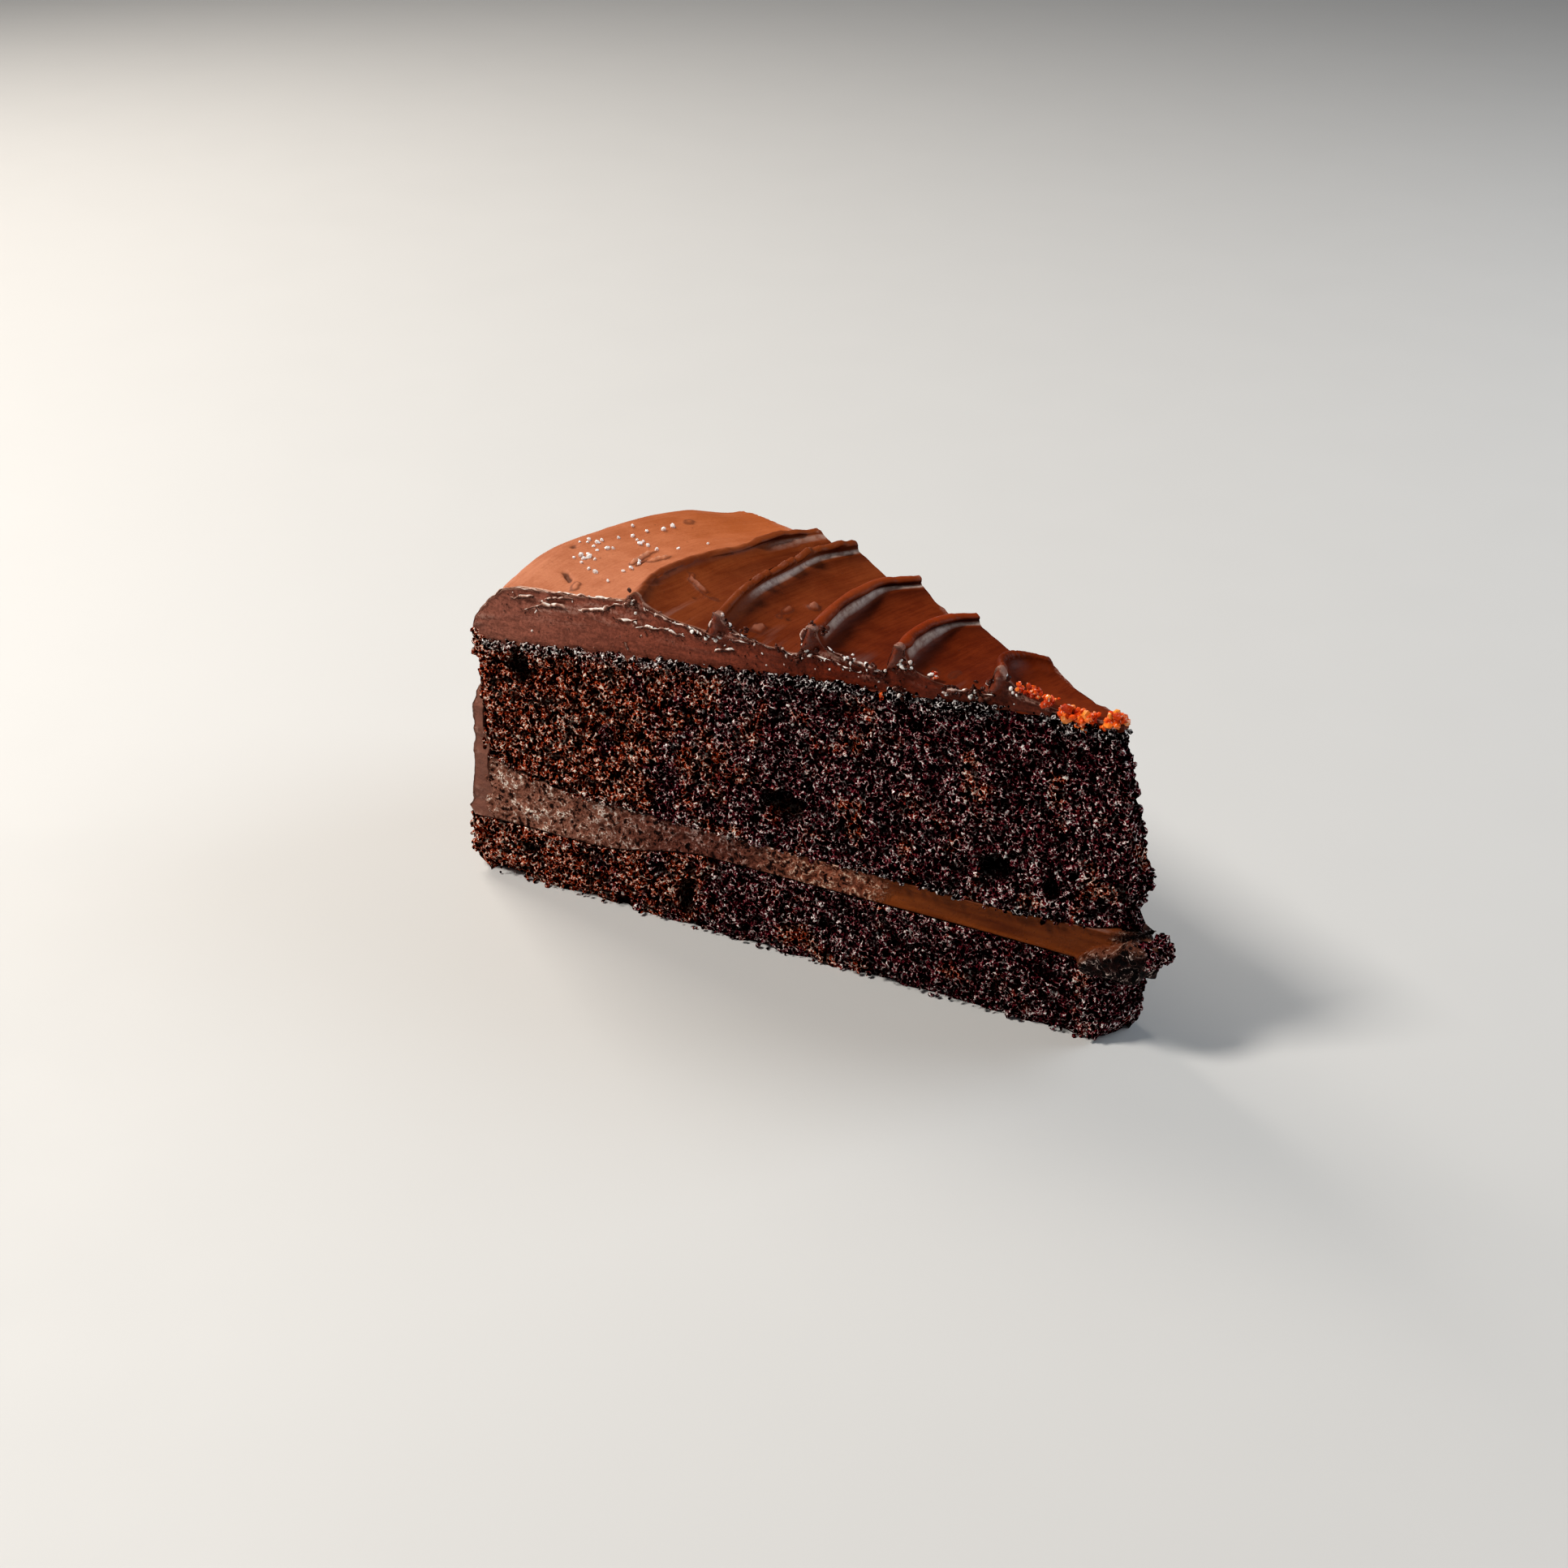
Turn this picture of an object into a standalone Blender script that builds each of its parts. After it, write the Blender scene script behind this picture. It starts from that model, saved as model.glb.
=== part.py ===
"""A slice of round chocolate layer cake: two sponges, a filling, and icing swept into rings.

Lengths are in metres and +Z is up. The slice rests on z = 0 with its point towards +X,
and its near cut faces -Y. Every shape is set out from the cake's centre line: a radius
from that line, a share of the way from the near cut (0) to the far cut (1), and a height.
"""

import math
import random

import bmesh
import bpy
from mathutils import Euler, Vector, noise

MM = 0.001

# The cake that the slice was cut from
CAKE_RADIUS = 137.0 * MM
SLICE_ANGLE = math.radians(29.5)
GAP = 0.3 * MM
POINT_RADIUS = 2.2 * MM

# The far cut leans, so the slice is wider at its foot
LEAN_AT_FOOT = 8.4 * MM
LEAN_ENDS_AT = 63.0 * MM

# How far the point stands out past the cake's centre, by height
POINT_OUTLINE = (
    (0.0 * MM, -1.5 * MM),
    (6.0 * MM, 1.0 * MM),
    (12.0 * MM, 1.2 * MM),
    (17.0 * MM, 6.4 * MM),
    (20.5 * MM, 8.2 * MM),
    (24.5 * MM, 5.4 * MM),
    (29.0 * MM, 3.0 * MM),
    (36.0 * MM, 4.6 * MM),
    (48.0 * MM, 2.6 * MM),
    (60.0 * MM, 0.2 * MM),
)
POINT_REACH = 11.0 * MM

# Heights of the layers, at the rim and at the point
LOWER_SPONGE_AT_RIM = 12.0 * MM
LOWER_SPONGE_AT_POINT = 16.2 * MM
LOWER_SPONGE_STEP_RADIUS = 98.0 * MM
FILLING_TOP = 21.8 * MM
FILLING_TOP_RISE_AT_RIM = 2.2 * MM
UPPER_SPONGE_AT_POINT = 62.0 * MM
UPPER_SPONGE_DROP = 12.4 * MM
DOME_POWER = 1.35

# The coat of icing on the outer wall
COAT_THICKNESS = 2.6 * MM
COAT_TOP = 53.0 * MM
COAT_TEAR = (40.0 * MM, 51.0 * MM)
COAT_TEAR_SHARE = 0.05
WALL_BULGE = 1.2 * MM

# The icing's rounded shoulder at the near cut: distance in from the outer wall, and height.
# It is fuller halfway along the rim, sits lower at the far cut, and draws in at the near corner.
SHOULDER = (
    (0.0 * MM, 52.8 * MM),
    (0.5 * MM, 54.8 * MM),
    (2.0 * MM, 56.9 * MM),
    (4.4 * MM, 59.6 * MM),
    (7.0 * MM, 62.0 * MM),
    (10.5 * MM, 63.0 * MM),
    (16.5 * MM, 63.5 * MM),
    (24.0 * MM, 64.2 * MM),
    (30.0 * MM, 64.9 * MM),
    (34.0 * MM, 65.6 * MM),
)
SHOULDER_FULLNESS = 2.0 * MM
FAR_DROP = 2.8 * MM
CORNER_DRAW = 1.6 * MM

# Crests left by the palette knife: radius at even steps from the near cut to the far cut
CREST_RADII = (
    (98.5 * MM, 102.8 * MM, 103.4 * MM, 101.2 * MM, 102.0 * MM, 101.0 * MM),
    (80.8 * MM, 83.4 * MM, 85.4 * MM, 86.2 * MM, 88.8 * MM, 87.2 * MM),
    (61.4 * MM, 63.8 * MM, 65.8 * MM, 67.4 * MM, 68.0 * MM, 65.6 * MM),
    (43.8 * MM, 45.9 * MM, 46.9 * MM, 47.6 * MM, 47.8 * MM, 47.2 * MM),
    (24.9 * MM, 26.6 * MM, 27.9 * MM, 28.3 * MM, 27.6 * MM, 25.2 * MM),
)

# Their heights at the near cut and at the far cut, and the troughs between them
CREST_HEIGHTS = (
    (67.0 * MM, 65.2 * MM),
    (67.2 * MM, 67.1 * MM),
    (68.7 * MM, 67.5 * MM),
    (68.8 * MM, 66.7 * MM),
    (68.6 * MM, 66.2 * MM),
)
CREST_BOW = 0.5 * MM
TROUGH_HEIGHTS = (62.4 * MM, 63.7 * MM)
TIP_ICING_HEIGHT = 63.0 * MM
CREST_CLEARANCE = 1.2 * MM

# One sweep, from a crest down to the trough and up the next bank: share of the way, share of the fall
SWEEP_DOWN = ((0.045, 0.20), (0.10, 0.40), (0.21, 0.60), (0.35, 0.78), (0.52, 0.92), (0.70, 1.0))
SWEEP_UP = ((0.86, 0.0), (0.91, 0.16), (0.95, 0.58), (0.98, 0.92))

# Relief on the cut and torn faces
CRUMB_DEPTH = 0.7 * MM
CRUMB_SIZE = 5.5 * MM
ICING_DEPTH = 0.25 * MM
ICING_WAVE = 13.0 * MM
LAYER_WAVE_DEPTH = 0.45 * MM
LAYER_WAVE = 32.0 * MM
FILLING_RECESS = 1.1 * MM
FILLING_RECESS_RADII = (6.0 * MM, 46.0 * MM)

# Pockets in the crumb: face, radius, height, half width, half height, half depth
UPPER_POCKETS = (
    ("near", 124.8 * MM, 46.6 * MM, 1.5 * MM, 3.2 * MM, 3.0 * MM),
    ("near", 67.4 * MM, 31.4 * MM, 4.0 * MM, 2.4 * MM, 3.6 * MM),
    ("near", 24.8 * MM, 29.6 * MM, 2.6 * MM, 2.2 * MM, 3.0 * MM),
    ("near", 14.6 * MM, 28.6 * MM, 1.2 * MM, 1.7 * MM, 2.2 * MM),
    ("far", 112.0 * MM, 38.0 * MM, 2.8 * MM, 1.8 * MM, 3.0 * MM),
    ("far", 74.0 * MM, 45.0 * MM, 1.6 * MM, 2.6 * MM, 2.6 * MM),
    ("far", 40.0 * MM, 34.0 * MM, 2.0 * MM, 1.6 * MM, 2.4 * MM),
)
LOWER_POCKETS = (
    ("near", 88.6 * MM, 6.8 * MM, 1.6 * MM, 3.5 * MM, 3.0 * MM),
    ("near", 125.0 * MM, 7.4 * MM, 1.7 * MM, 1.5 * MM, 2.0 * MM),
    ("far", 96.0 * MM, 6.0 * MM, 2.2 * MM, 1.6 * MM, 2.4 * MM),
    ("far", 52.0 * MM, 9.0 * MM, 1.6 * MM, 1.8 * MM, 2.4 * MM),
)

POCKET_WARP = 0.12

# Sugar crystals sprinkled on the widest sweep: how many, around which radius and share, how spread
CRYSTAL_GROUPS = (
    (12, (122.0 * MM, 0.33), (2.2 * MM, 0.05)),
    (24, (116.0 * MM, 0.40), (4.8 * MM, 0.13)),
)
CRYSTAL_SEED = 11
CRYSTAL_SIZE = (0.5 * MM, 0.95 * MM)
CRYSTAL_RADII = (106.0 * MM, 128.0 * MM)

# How finely each piece is divided
LAYER_STATIONS = 30
LAYER_ROWS = 10
UPPER_LEVELS = 8
LOWER_LEVELS = 4
FILLING_LEVELS = 2
ICING_ROWS = 12
ICING_LEVELS = 2
COAT_LEVELS = 9

FINISHES = {
    "dark_sponge": ((0.050, 0.022, 0.018), 0.62),
    "filling_cream": ((0.155, 0.066, 0.036), 0.45),
    "chocolate_icing": ((0.210, 0.088, 0.044), 0.38),
}


def along(points, x):
    """Value at x on the straight runs through points, which rise in x."""
    if x <= points[0][0]:
        return points[0][1]
    for (x0, y0), (x1, y1) in zip(points, points[1:]):
        if x <= x1:
            return y0 + (y1 - y0) * (x - x0) / (x1 - x0)
    return points[-1][1]


def ease(low, high, x):
    """0 below low and 1 above high, with a smooth rise between."""
    t = min(1.0, max(0.0, (x - low) / (high - low)))
    return t * t * (3 - 2 * t)


def between(ends, share):
    """Value on the straight run from the near cut to the far cut."""
    return ends[0] + (ends[1] - ends[0]) * share


def smooth_through(values, share):
    """Value on a smooth line through values at even steps from the near cut to the far cut."""
    place = min(max(share, 0.0), 1.0) * (len(values) - 1)
    first = min(int(place), len(values) - 2)
    t = place - first
    last = len(values) - 1
    before, start, end, after = (values[max(0, min(last, first + step))] for step in (-1, 0, 1, 2))
    leaving, arriving = (end - before) / 2, (after - start) / 2
    square = 3 * (end - start) - 2 * leaving - arriving
    cube = leaving + arriving - 2 * (end - start)
    return start + t * (leaving + t * (square + t * cube))


def wave(radius, share, size, seed):
    """Smooth unevenness from -1 to 1 over the plan."""
    angle = SLICE_ANGLE * share
    place = Vector((radius * math.cos(angle), radius * math.sin(angle), seed * MM * 100)) / size
    return noise.noise(place)


def lower_sponge_top(radius, share):
    step = ease(LOWER_SPONGE_STEP_RADIUS - 15 * MM, LOWER_SPONGE_STEP_RADIUS + 12 * MM, radius)
    height = LOWER_SPONGE_AT_POINT + (LOWER_SPONGE_AT_RIM - LOWER_SPONGE_AT_POINT) * step
    return height + LAYER_WAVE_DEPTH * wave(radius, share, LAYER_WAVE, 1)


def filling_top(radius, share):
    rise = FILLING_TOP_RISE_AT_RIM * ease(112 * MM, 133 * MM, radius)
    rise += 1.4 * MM * (1 - ease(5 * MM, 25 * MM, radius))
    return FILLING_TOP + rise + LAYER_WAVE_DEPTH * wave(radius, share, LAYER_WAVE, 2)


def upper_sponge_top(radius, share):
    drop = UPPER_SPONGE_DROP * (radius / CAKE_RADIUS) ** DOME_POWER
    return UPPER_SPONGE_AT_POINT - drop + LAYER_WAVE_DEPTH * wave(radius, share, LAYER_WAVE, 3)


def plan_point(radius, share, height):
    """The point at that radius and share on the slice's plan, at that height."""
    angle = SLICE_ANGLE * (share - 0.5)
    half = SLICE_ANGLE / 2
    lean = LEAN_AT_FOOT * max(0.0, 1 - height / LEAN_ENDS_AT) * share
    stand_out = along(POINT_OUTLINE, height) * math.exp(-radius / POINT_REACH)
    x = -radius * math.cos(angle) + lean * math.sin(half) + stand_out
    y = radius * math.sin(angle) + lean * math.cos(half)
    return Vector((x, y, height))


def outward(share, end):
    """Direction out of the near cut, the far cut, the rim or the point, or none inside the piece."""
    half = SLICE_ANGLE / 2
    push = Vector((0.0, 0.0, 0.0))
    if share < 0.001:
        push += Vector((math.sin(half), -math.cos(half), 0.0))
    if share > 0.999:
        push += Vector((math.sin(half), math.cos(half), 0.0))
    if end == "rim":
        angle = SLICE_ANGLE * (share - 0.5)
        push += Vector((-math.cos(angle), math.sin(angle), 0.0))
    if end == "point":
        push += Vector((1.0, 0.0, 0.0))
    return push.normalized() if push.length > 0 else push


def crags(point, depth, size):
    """How far a torn or cut face stands out of its plane there."""
    return depth * (noise.noise(point / size) + 0.5 * noise.noise(point * 2.1 / size))


def material(name):
    colour, roughness = FINISHES[name]
    made = bpy.data.materials.get(name) or bpy.data.materials.new(name)
    made.use_nodes = True
    made.diffuse_color = (*colour, 1.0)
    shader = made.node_tree.nodes["Principled BSDF"]
    shader.inputs["Base Color"].default_value = (*colour, 1.0)
    shader.inputs["Roughness"].default_value = roughness
    shader.inputs["Metallic"].default_value = 0.0
    return made


def link(name, mesh, collection, finish=None):
    made = bpy.data.objects.new(name, mesh)
    collection.objects.link(made)
    if finish:
        mesh.materials.append(material(finish))
    return made


def block(name, counts, place):
    """A cube divided into counts pieces along each axis, with every corner moved by place."""
    mesh = bpy.data.meshes.new(name)
    shape = bmesh.new()
    bmesh.ops.create_cube(shape, size=1.0)
    for axis, count in enumerate(counts):
        runs = [
            edge for edge in shape.edges
            if abs(edge.verts[0].co[axis] - edge.verts[1].co[axis]) > 0.9
        ]
        if count > 1:
            bmesh.ops.subdivide_edges(shape, edges=runs, cuts=count - 1, use_grid_fill=True)
    for corner in shape.verts:
        column, row, level = (round((corner.co[axis] + 0.5) * counts[axis]) for axis in range(3))
        corner.co = place(column, row, level)
    bmesh.ops.triangulate(shape, faces=shape.faces[:], quad_method="SHORT_EDGE")
    bmesh.ops.recalc_face_normals(shape, faces=shape.faces[:])
    shape.to_mesh(mesh)
    shape.free()
    mesh.shade_smooth()
    mesh.set_sharp_from_angle(angle=math.radians(40))
    return mesh


def end_of(column, columns):
    return {0: "rim", columns: "point"}.get(column)


def layer(name, collection, finish, rim_radius, levels, floor, ceiling, relief):
    """One layer of the cake between two surfaces, from its rim to its point."""
    def place(column, row, level):
        radius = rim_radius + (POINT_RADIUS - rim_radius) * column / LAYER_STATIONS
        share = row / LAYER_ROWS
        low, high = floor(radius, share), ceiling(radius, share)
        point = plan_point(radius, share, low + (high - low) * level / levels)
        push = outward(share, end_of(column, LAYER_STATIONS))
        return point + push * relief(point, radius, level / levels)

    return link(name, block(name, (LAYER_STATIONS, LAYER_ROWS, levels), place), collection, finish)


def sponge_relief(point, radius, rise):
    return crags(point, CRUMB_DEPTH, CRUMB_SIZE)


def filling_relief(point, radius, rise):
    """Rough where the knife tore the filling, and scooped in where it smeared it smooth."""
    low, high = FILLING_RECESS_RADII
    smooth = ease(low, low + 6 * MM, radius) * (1 - ease(high, high + 8 * MM, radius))
    return crags(point, CRUMB_DEPTH * 0.7, CRUMB_SIZE) * (1 - smooth) - FILLING_RECESS * smooth


def crest_height(crest, share):
    return between(CREST_HEIGHTS[crest], share) + CREST_BOW * math.sin(math.pi * share)


def rim_radius(share):
    """Radius of the icing's shoulder, which draws in at the near corner."""
    return CAKE_RADIUS - CORNER_DRAW * (1 - ease(0.0, 0.22, share))


def shoulder_height(distance, share):
    """Height of the widest sweep and its rounded shoulder, at a distance in from the outer wall."""
    fuller = SHOULDER_FULLNESS * ease(0.0, 0.3, share) * (1 - ease(0.78, 1.0, share))
    fuller *= math.sin(math.pi * min(1.0, distance / (22 * MM)) ** 0.45)
    lower = FAR_DROP * ease(0.55, 1.0, share) * ease(1 * MM, 9 * MM, distance)
    return along(SHOULDER, distance) + fuller - lower


def icing_stations():
    """(sweep, share of the sweep) of each line across the icing, from the rim to the point."""
    shares_down = [share for share, _ in SWEEP_DOWN]
    shares_up = [share for share, _ in SWEEP_UP]
    stations = [("shoulder", distance) for distance, _ in SHOULDER]
    for crest in range(len(CREST_RADII)):
        last = crest == len(CREST_RADII) - 1
        stations.append((crest, 0.0))
        stations += [(crest, share) for share in (shares_down if last else shares_down + shares_up)]
    return [*stations, (len(CREST_RADII) - 1, 1.0)]


def icing_radius(station, share):
    sweep, where = station
    if sweep == "shoulder":
        inner = smooth_through(CREST_RADII[0], share) + CREST_CLEARANCE
        return rim_radius(share) + (inner - rim_radius(share)) * where / SHOULDER[-1][0]
    start = smooth_through(CREST_RADII[sweep], share)
    end = smooth_through(CREST_RADII[sweep + 1], share) if sweep + 1 < len(CREST_RADII) else POINT_RADIUS
    return start + (end - start) * where


def icing_top(station, share):
    """Height of the swept surface at a station."""
    sweep, where = station
    radius = icing_radius(station, share)
    uneven = ICING_DEPTH * wave(radius, share, ICING_WAVE, 5)
    if sweep == "shoulder":
        return shoulder_height(where, share) + uneven
    crest = crest_height(sweep, share)
    last = sweep + 1 == len(CREST_RADII)
    trough = TIP_ICING_HEIGHT if last else between(TROUGH_HEIGHTS, share)
    if last or where <= SWEEP_UP[0][0]:
        return crest + (trough - crest) * along(((0.0, 0.0), *SWEEP_DOWN), where) + uneven
    next_crest = crest_height(sweep + 1, share)
    return trough + (next_crest - trough) * along((*SWEEP_UP, (1.0, 1.0)), where) + uneven


def icing_slab(collection):
    """The icing on top of the cake, with its shoulder and its swept rings."""
    stations = icing_stations()
    columns = len(stations) - 1

    def place(column, row, level):
        share = row / ICING_ROWS
        station = stations[column]
        radius = icing_radius(station, share)
        low = upper_sponge_top(radius, share) + GAP
        high = max(icing_top(station, share), low + 0.8 * MM)
        point = plan_point(radius, share, low + (high - low) * level / ICING_LEVELS)
        if level in (0, ICING_LEVELS):
            return point
        return point + outward(share, end_of(column, columns)) * crags(point, ICING_DEPTH, CRUMB_SIZE)

    mesh = block("icing", (columns, ICING_ROWS, ICING_LEVELS), place)
    return link("icing", mesh, collection, "chocolate_icing")


def icing_coat(collection):
    """The coat on the outer wall, which starts on the lower sponge and is torn at the near cut."""
    inner = CAKE_RADIUS - COAT_THICKNESS

    def place(column, row, level):
        share = row / ICING_ROWS
        foot = lower_sponge_top(CAKE_RADIUS, share) + GAP + LAYER_WAVE_DEPTH
        height = foot + (COAT_TOP - foot) * level / COAT_LEVELS
        if row == 0 and COAT_TEAR[0] < height < COAT_TEAR[1]:
            share += COAT_TEAR_SHARE
        squeezed = WALL_BULGE * (1 - ease(14 * MM, 30 * MM, height)) * ease(foot, foot + 2 * MM, height)
        drawn_in = (CAKE_RADIUS - rim_radius(share)) * ease(38 * MM, 50 * MM, height)
        radius = inner if column else CAKE_RADIUS - 0.5 * MM + squeezed - drawn_in
        point = plan_point(radius, share, height)
        if column:
            return point
        return point + outward(0.5, "rim") * crags(point, ICING_DEPTH * 2, CRUMB_SIZE * 1.5)

    return link("coat", block("coat", (1, ICING_ROWS, COAT_LEVELS), place), collection)


def crystal(collection, number, centre, size, turn):
    """One sugar crystal: a small block, squashed and turned."""
    mesh = bpy.data.meshes.new(f"crystal_{number}")
    shape = bmesh.new()
    bmesh.ops.create_cube(shape, size=size)
    bmesh.ops.scale(shape, vec=(1.0, 0.8, 0.75), verts=shape.verts)
    bmesh.ops.rotate(shape, matrix=turn.to_matrix(), verts=shape.verts)
    bmesh.ops.translate(shape, vec=centre, verts=shape.verts)
    shape.to_mesh(mesh)
    shape.free()
    return link(mesh.name, mesh, collection)


def top_at(radius, share):
    """Height of the widest sweep at a radius between the shoulder and the first crest."""
    inner = smooth_through(CREST_RADII[0], share) + CREST_CLEARANCE
    where = SHOULDER[-1][0] * (rim_radius(share) - radius) / (rim_radius(share) - inner)
    return icing_top(("shoulder", where), share)


def crystals(collection):
    """Sugar crystals scattered over the widest sweep, each about half sunk and clear of the others."""
    draw = random.Random(CRYSTAL_SEED)
    taken = []
    for count, centre, spread in CRYSTAL_GROUPS:
        wanted = len(taken) + count
        while len(taken) < wanted:
            radius, share = (draw.gauss(middle, width) for middle, width in zip(centre, spread))
            size = draw.uniform(*CRYSTAL_SIZE)
            turn = Euler([draw.uniform(0, math.pi) for _ in range(3)])
            if not (CRYSTAL_RADII[0] < radius < CRYSTAL_RADII[1] and 0.1 < share < 0.8):
                continue
            place = plan_point(radius, share, top_at(radius, share) + 0.2 * size)
            if all((place - other).length > 1.9 * CRYSTAL_SIZE[1] for other in taken):
                crystal(collection, len(taken), place, size, turn)
                taken.append(place)


def pocket_cutter(collection, name, pocket):
    """A rounded hollow that opens at one of the cuts."""
    face, radius, height, half_width, half_height, half_depth = pocket
    share = 0.0 if face == "near" else 1.0
    mesh = bpy.data.meshes.new(name)
    shape = bmesh.new()
    bmesh.ops.create_icosphere(shape, subdivisions=2, radius=1.0)
    for corner in shape.verts:
        corner.co *= 1 + POCKET_WARP * noise.noise(corner.co * 1.7 + Vector((radius, height, 0)) / MM)
        corner.co *= Vector((half_width, half_depth, half_height))
    shape.to_mesh(mesh)
    shape.free()
    cutter = link(name, mesh, collection)
    cutter.location = plan_point(radius, share, height)
    cutter.rotation_euler.z = SLICE_ANGLE / 2 * (1 if face == "near" else -1)
    return cutter


def helper_collection(name):
    made = bpy.data.collections.new(name)
    bpy.context.scene.collection.children.link(made)
    made.hide_render = True
    return made


def mark_helpers(collection):
    for helper in collection.objects:
        helper.hide_render = True
        helper.display_type = "WIRE"


def cut_pockets(target, pockets):
    cutters = helper_collection(f"{target.name}_pockets")
    for number, pocket in enumerate(pockets):
        pocket_cutter(cutters, f"{target.name}_pocket_{number}", pocket)
    mark_helpers(cutters)
    cut = target.modifiers.new("pockets", "BOOLEAN")
    cut.operation = "DIFFERENCE"
    cut.operand_type = "COLLECTION"
    cut.collection = cutters
    cut.solver = "EXACT"
    bpy.context.view_layer.update()
    apply_modifiers(target)
    remove_all(cutters)


def apply_modifiers(target):
    """Keeps the shape that the modifiers make as the object's own mesh."""
    graph = bpy.context.evaluated_depsgraph_get()
    finished = bpy.data.meshes.new_from_object(target.evaluated_get(graph))
    target.modifiers.clear()
    target.data = finished


def remove_all(collection):
    for helper in list(collection.objects):
        bpy.data.objects.remove(helper)
    bpy.data.collections.remove(collection)


def make_icing(collection):
    """The icing's slab with its coat and its sugar crystals, joined into one solid."""
    icing = icing_slab(collection)
    additions = helper_collection("icing_additions")
    icing_coat(additions)
    crystals(additions)
    mark_helpers(additions)
    join = icing.modifiers.new("additions", "BOOLEAN")
    join.operation = "UNION"
    join.operand_type = "COLLECTION"
    join.collection = additions
    join.solver = "EXACT"
    bpy.context.view_layer.update()
    apply_modifiers(icing)
    remove_all(additions)
    return icing


def make_slice(collection):
    """The four pieces of the slice, set out from the cake's centre line."""
    rim = CAKE_RADIUS - COAT_THICKNESS - GAP - CRUMB_DEPTH
    lower = layer(
        "lower_sponge", collection, "dark_sponge", CAKE_RADIUS + 0.4 * MM, LOWER_LEVELS,
        lambda radius, share: 0.0, lower_sponge_top, sponge_relief,
    )
    filling = layer(
        "filling", collection, "filling_cream", rim, FILLING_LEVELS,
        lambda radius, share: lower_sponge_top(radius, share) + GAP, filling_top, filling_relief,
    )
    upper = layer(
        "upper_sponge", collection, "dark_sponge", rim, UPPER_LEVELS,
        lambda radius, share: filling_top(radius, share) + GAP, upper_sponge_top, sponge_relief,
    )
    cut_pockets(lower, LOWER_POCKETS)
    cut_pockets(upper, UPPER_POCKETS)
    return [lower, filling, upper, make_icing(collection)]


def centre_on_base(pieces, collection):
    """Puts the origin under the middle of the slice, by a parent that carries every piece."""
    corners = [piece.matrix_world @ vertex.co for piece in pieces for vertex in piece.data.vertices]
    low = [min(corner[axis] for corner in corners) for axis in range(3)]
    high = [max(corner[axis] for corner in corners) for axis in range(3)]
    carrier = bpy.data.objects.new("slice_origin", None)
    collection.objects.link(carrier)
    carrier.location = (-(low[0] + high[0]) / 2, -(low[1] + high[1]) / 2, -low[2])
    for piece in pieces:
        piece.parent = carrier
    print("cake centre line at x, y:", [round(value, 5) for value in carrier.location[:2]])


def main():
    for old in list(bpy.data.objects):
        bpy.data.objects.remove(old)
    collection = bpy.data.collections.new("cake_slice")
    bpy.context.scene.collection.children.link(collection)
    pieces = make_slice(collection)
    centre_on_base(pieces, collection)
    for piece in pieces:
        print(piece.name, len(piece.data.polygons), "faces")


main()
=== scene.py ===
import math
import random

import bpy
import numpy as np
from mathutils import Matrix, Vector


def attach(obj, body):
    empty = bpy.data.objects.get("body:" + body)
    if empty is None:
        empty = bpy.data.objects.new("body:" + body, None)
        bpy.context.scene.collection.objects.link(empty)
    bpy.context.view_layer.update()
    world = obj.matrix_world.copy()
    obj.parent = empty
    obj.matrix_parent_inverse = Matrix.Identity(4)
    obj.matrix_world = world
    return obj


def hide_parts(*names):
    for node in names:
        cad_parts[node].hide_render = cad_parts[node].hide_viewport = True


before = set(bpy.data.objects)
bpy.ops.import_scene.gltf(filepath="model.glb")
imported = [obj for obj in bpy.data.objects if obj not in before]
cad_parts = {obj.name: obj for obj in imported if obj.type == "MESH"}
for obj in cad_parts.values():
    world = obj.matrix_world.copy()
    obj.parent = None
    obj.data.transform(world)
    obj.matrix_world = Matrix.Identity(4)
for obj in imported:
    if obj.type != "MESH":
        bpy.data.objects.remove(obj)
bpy.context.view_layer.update()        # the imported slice: lower_sponge, filling, upper_sponge and icing, on one body
bpy.ops.object.select_all(action="DESELECT")
scene = bpy.context.scene
mm = 0.001               # shapes are worked out in millimetres, and scaled when a mesh is written

# the round cake that the slice was cut from
cake = {
    "centre": (65.48, -3.98),      # its middle, seen from the middle of the slice
    "radius": 137.0,
    "angle": math.radians(29.5),   # between the near cut and the far cut
    "pointRadius": 2.2,            # where both cuts end, just short of the middle
    "lean": 8.4,                   # how far the far cut stands out at its foot
    "leanEnds": 63.0,              # the height from which it is upright
    "gap": 0.3,                    # between one layer and the next
    "pointReach": 11.0,            # how soon the outline below dies out away from the point
    "pointOutline": (              # height, and how far the point stands out there
        (0, -1.5), (6, 1.0), (12, 1.2), (17, 6.4), (20.5, 8.2), (24.5, 5.4), (29, 3.0), (36, 4.6),
        (48, 2.6), (60, 0.2),
    ),
}


def ease(low, high, x):
    # a smooth step from 0 at low to 1 at high
    t = np.clip((x - low) / (high - low), 0, 1)
    return t * t * (3 - 2 * t)


def hump(centre, width, x):
    return np.exp(-((x - centre) / width) ** 2)


def along(points, x):
    places, values = zip(*points)
    return np.interp(x, places, values)


def smoothThrough(values, share):
    # a smooth line through values at even steps from the near cut to the far cut
    values = np.asarray(values, float)
    last = len(values) - 1
    place = np.clip(share, 0, 1) * last
    first = np.minimum(place.astype(int), last - 1)
    t = place - first
    before, start = values[np.maximum(first - 1, 0)], values[first]
    end, after = values[first + 1], values[np.minimum(first + 2, last)]
    leaving, arriving = (end - before) / 2, (after - start) / 2
    square = 3 * (end - start) - 2 * leaving - arriving
    cube = leaving + arriving - 2 * (end - start)
    return start + t * (leaving + t * (square + t * cube))


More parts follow.
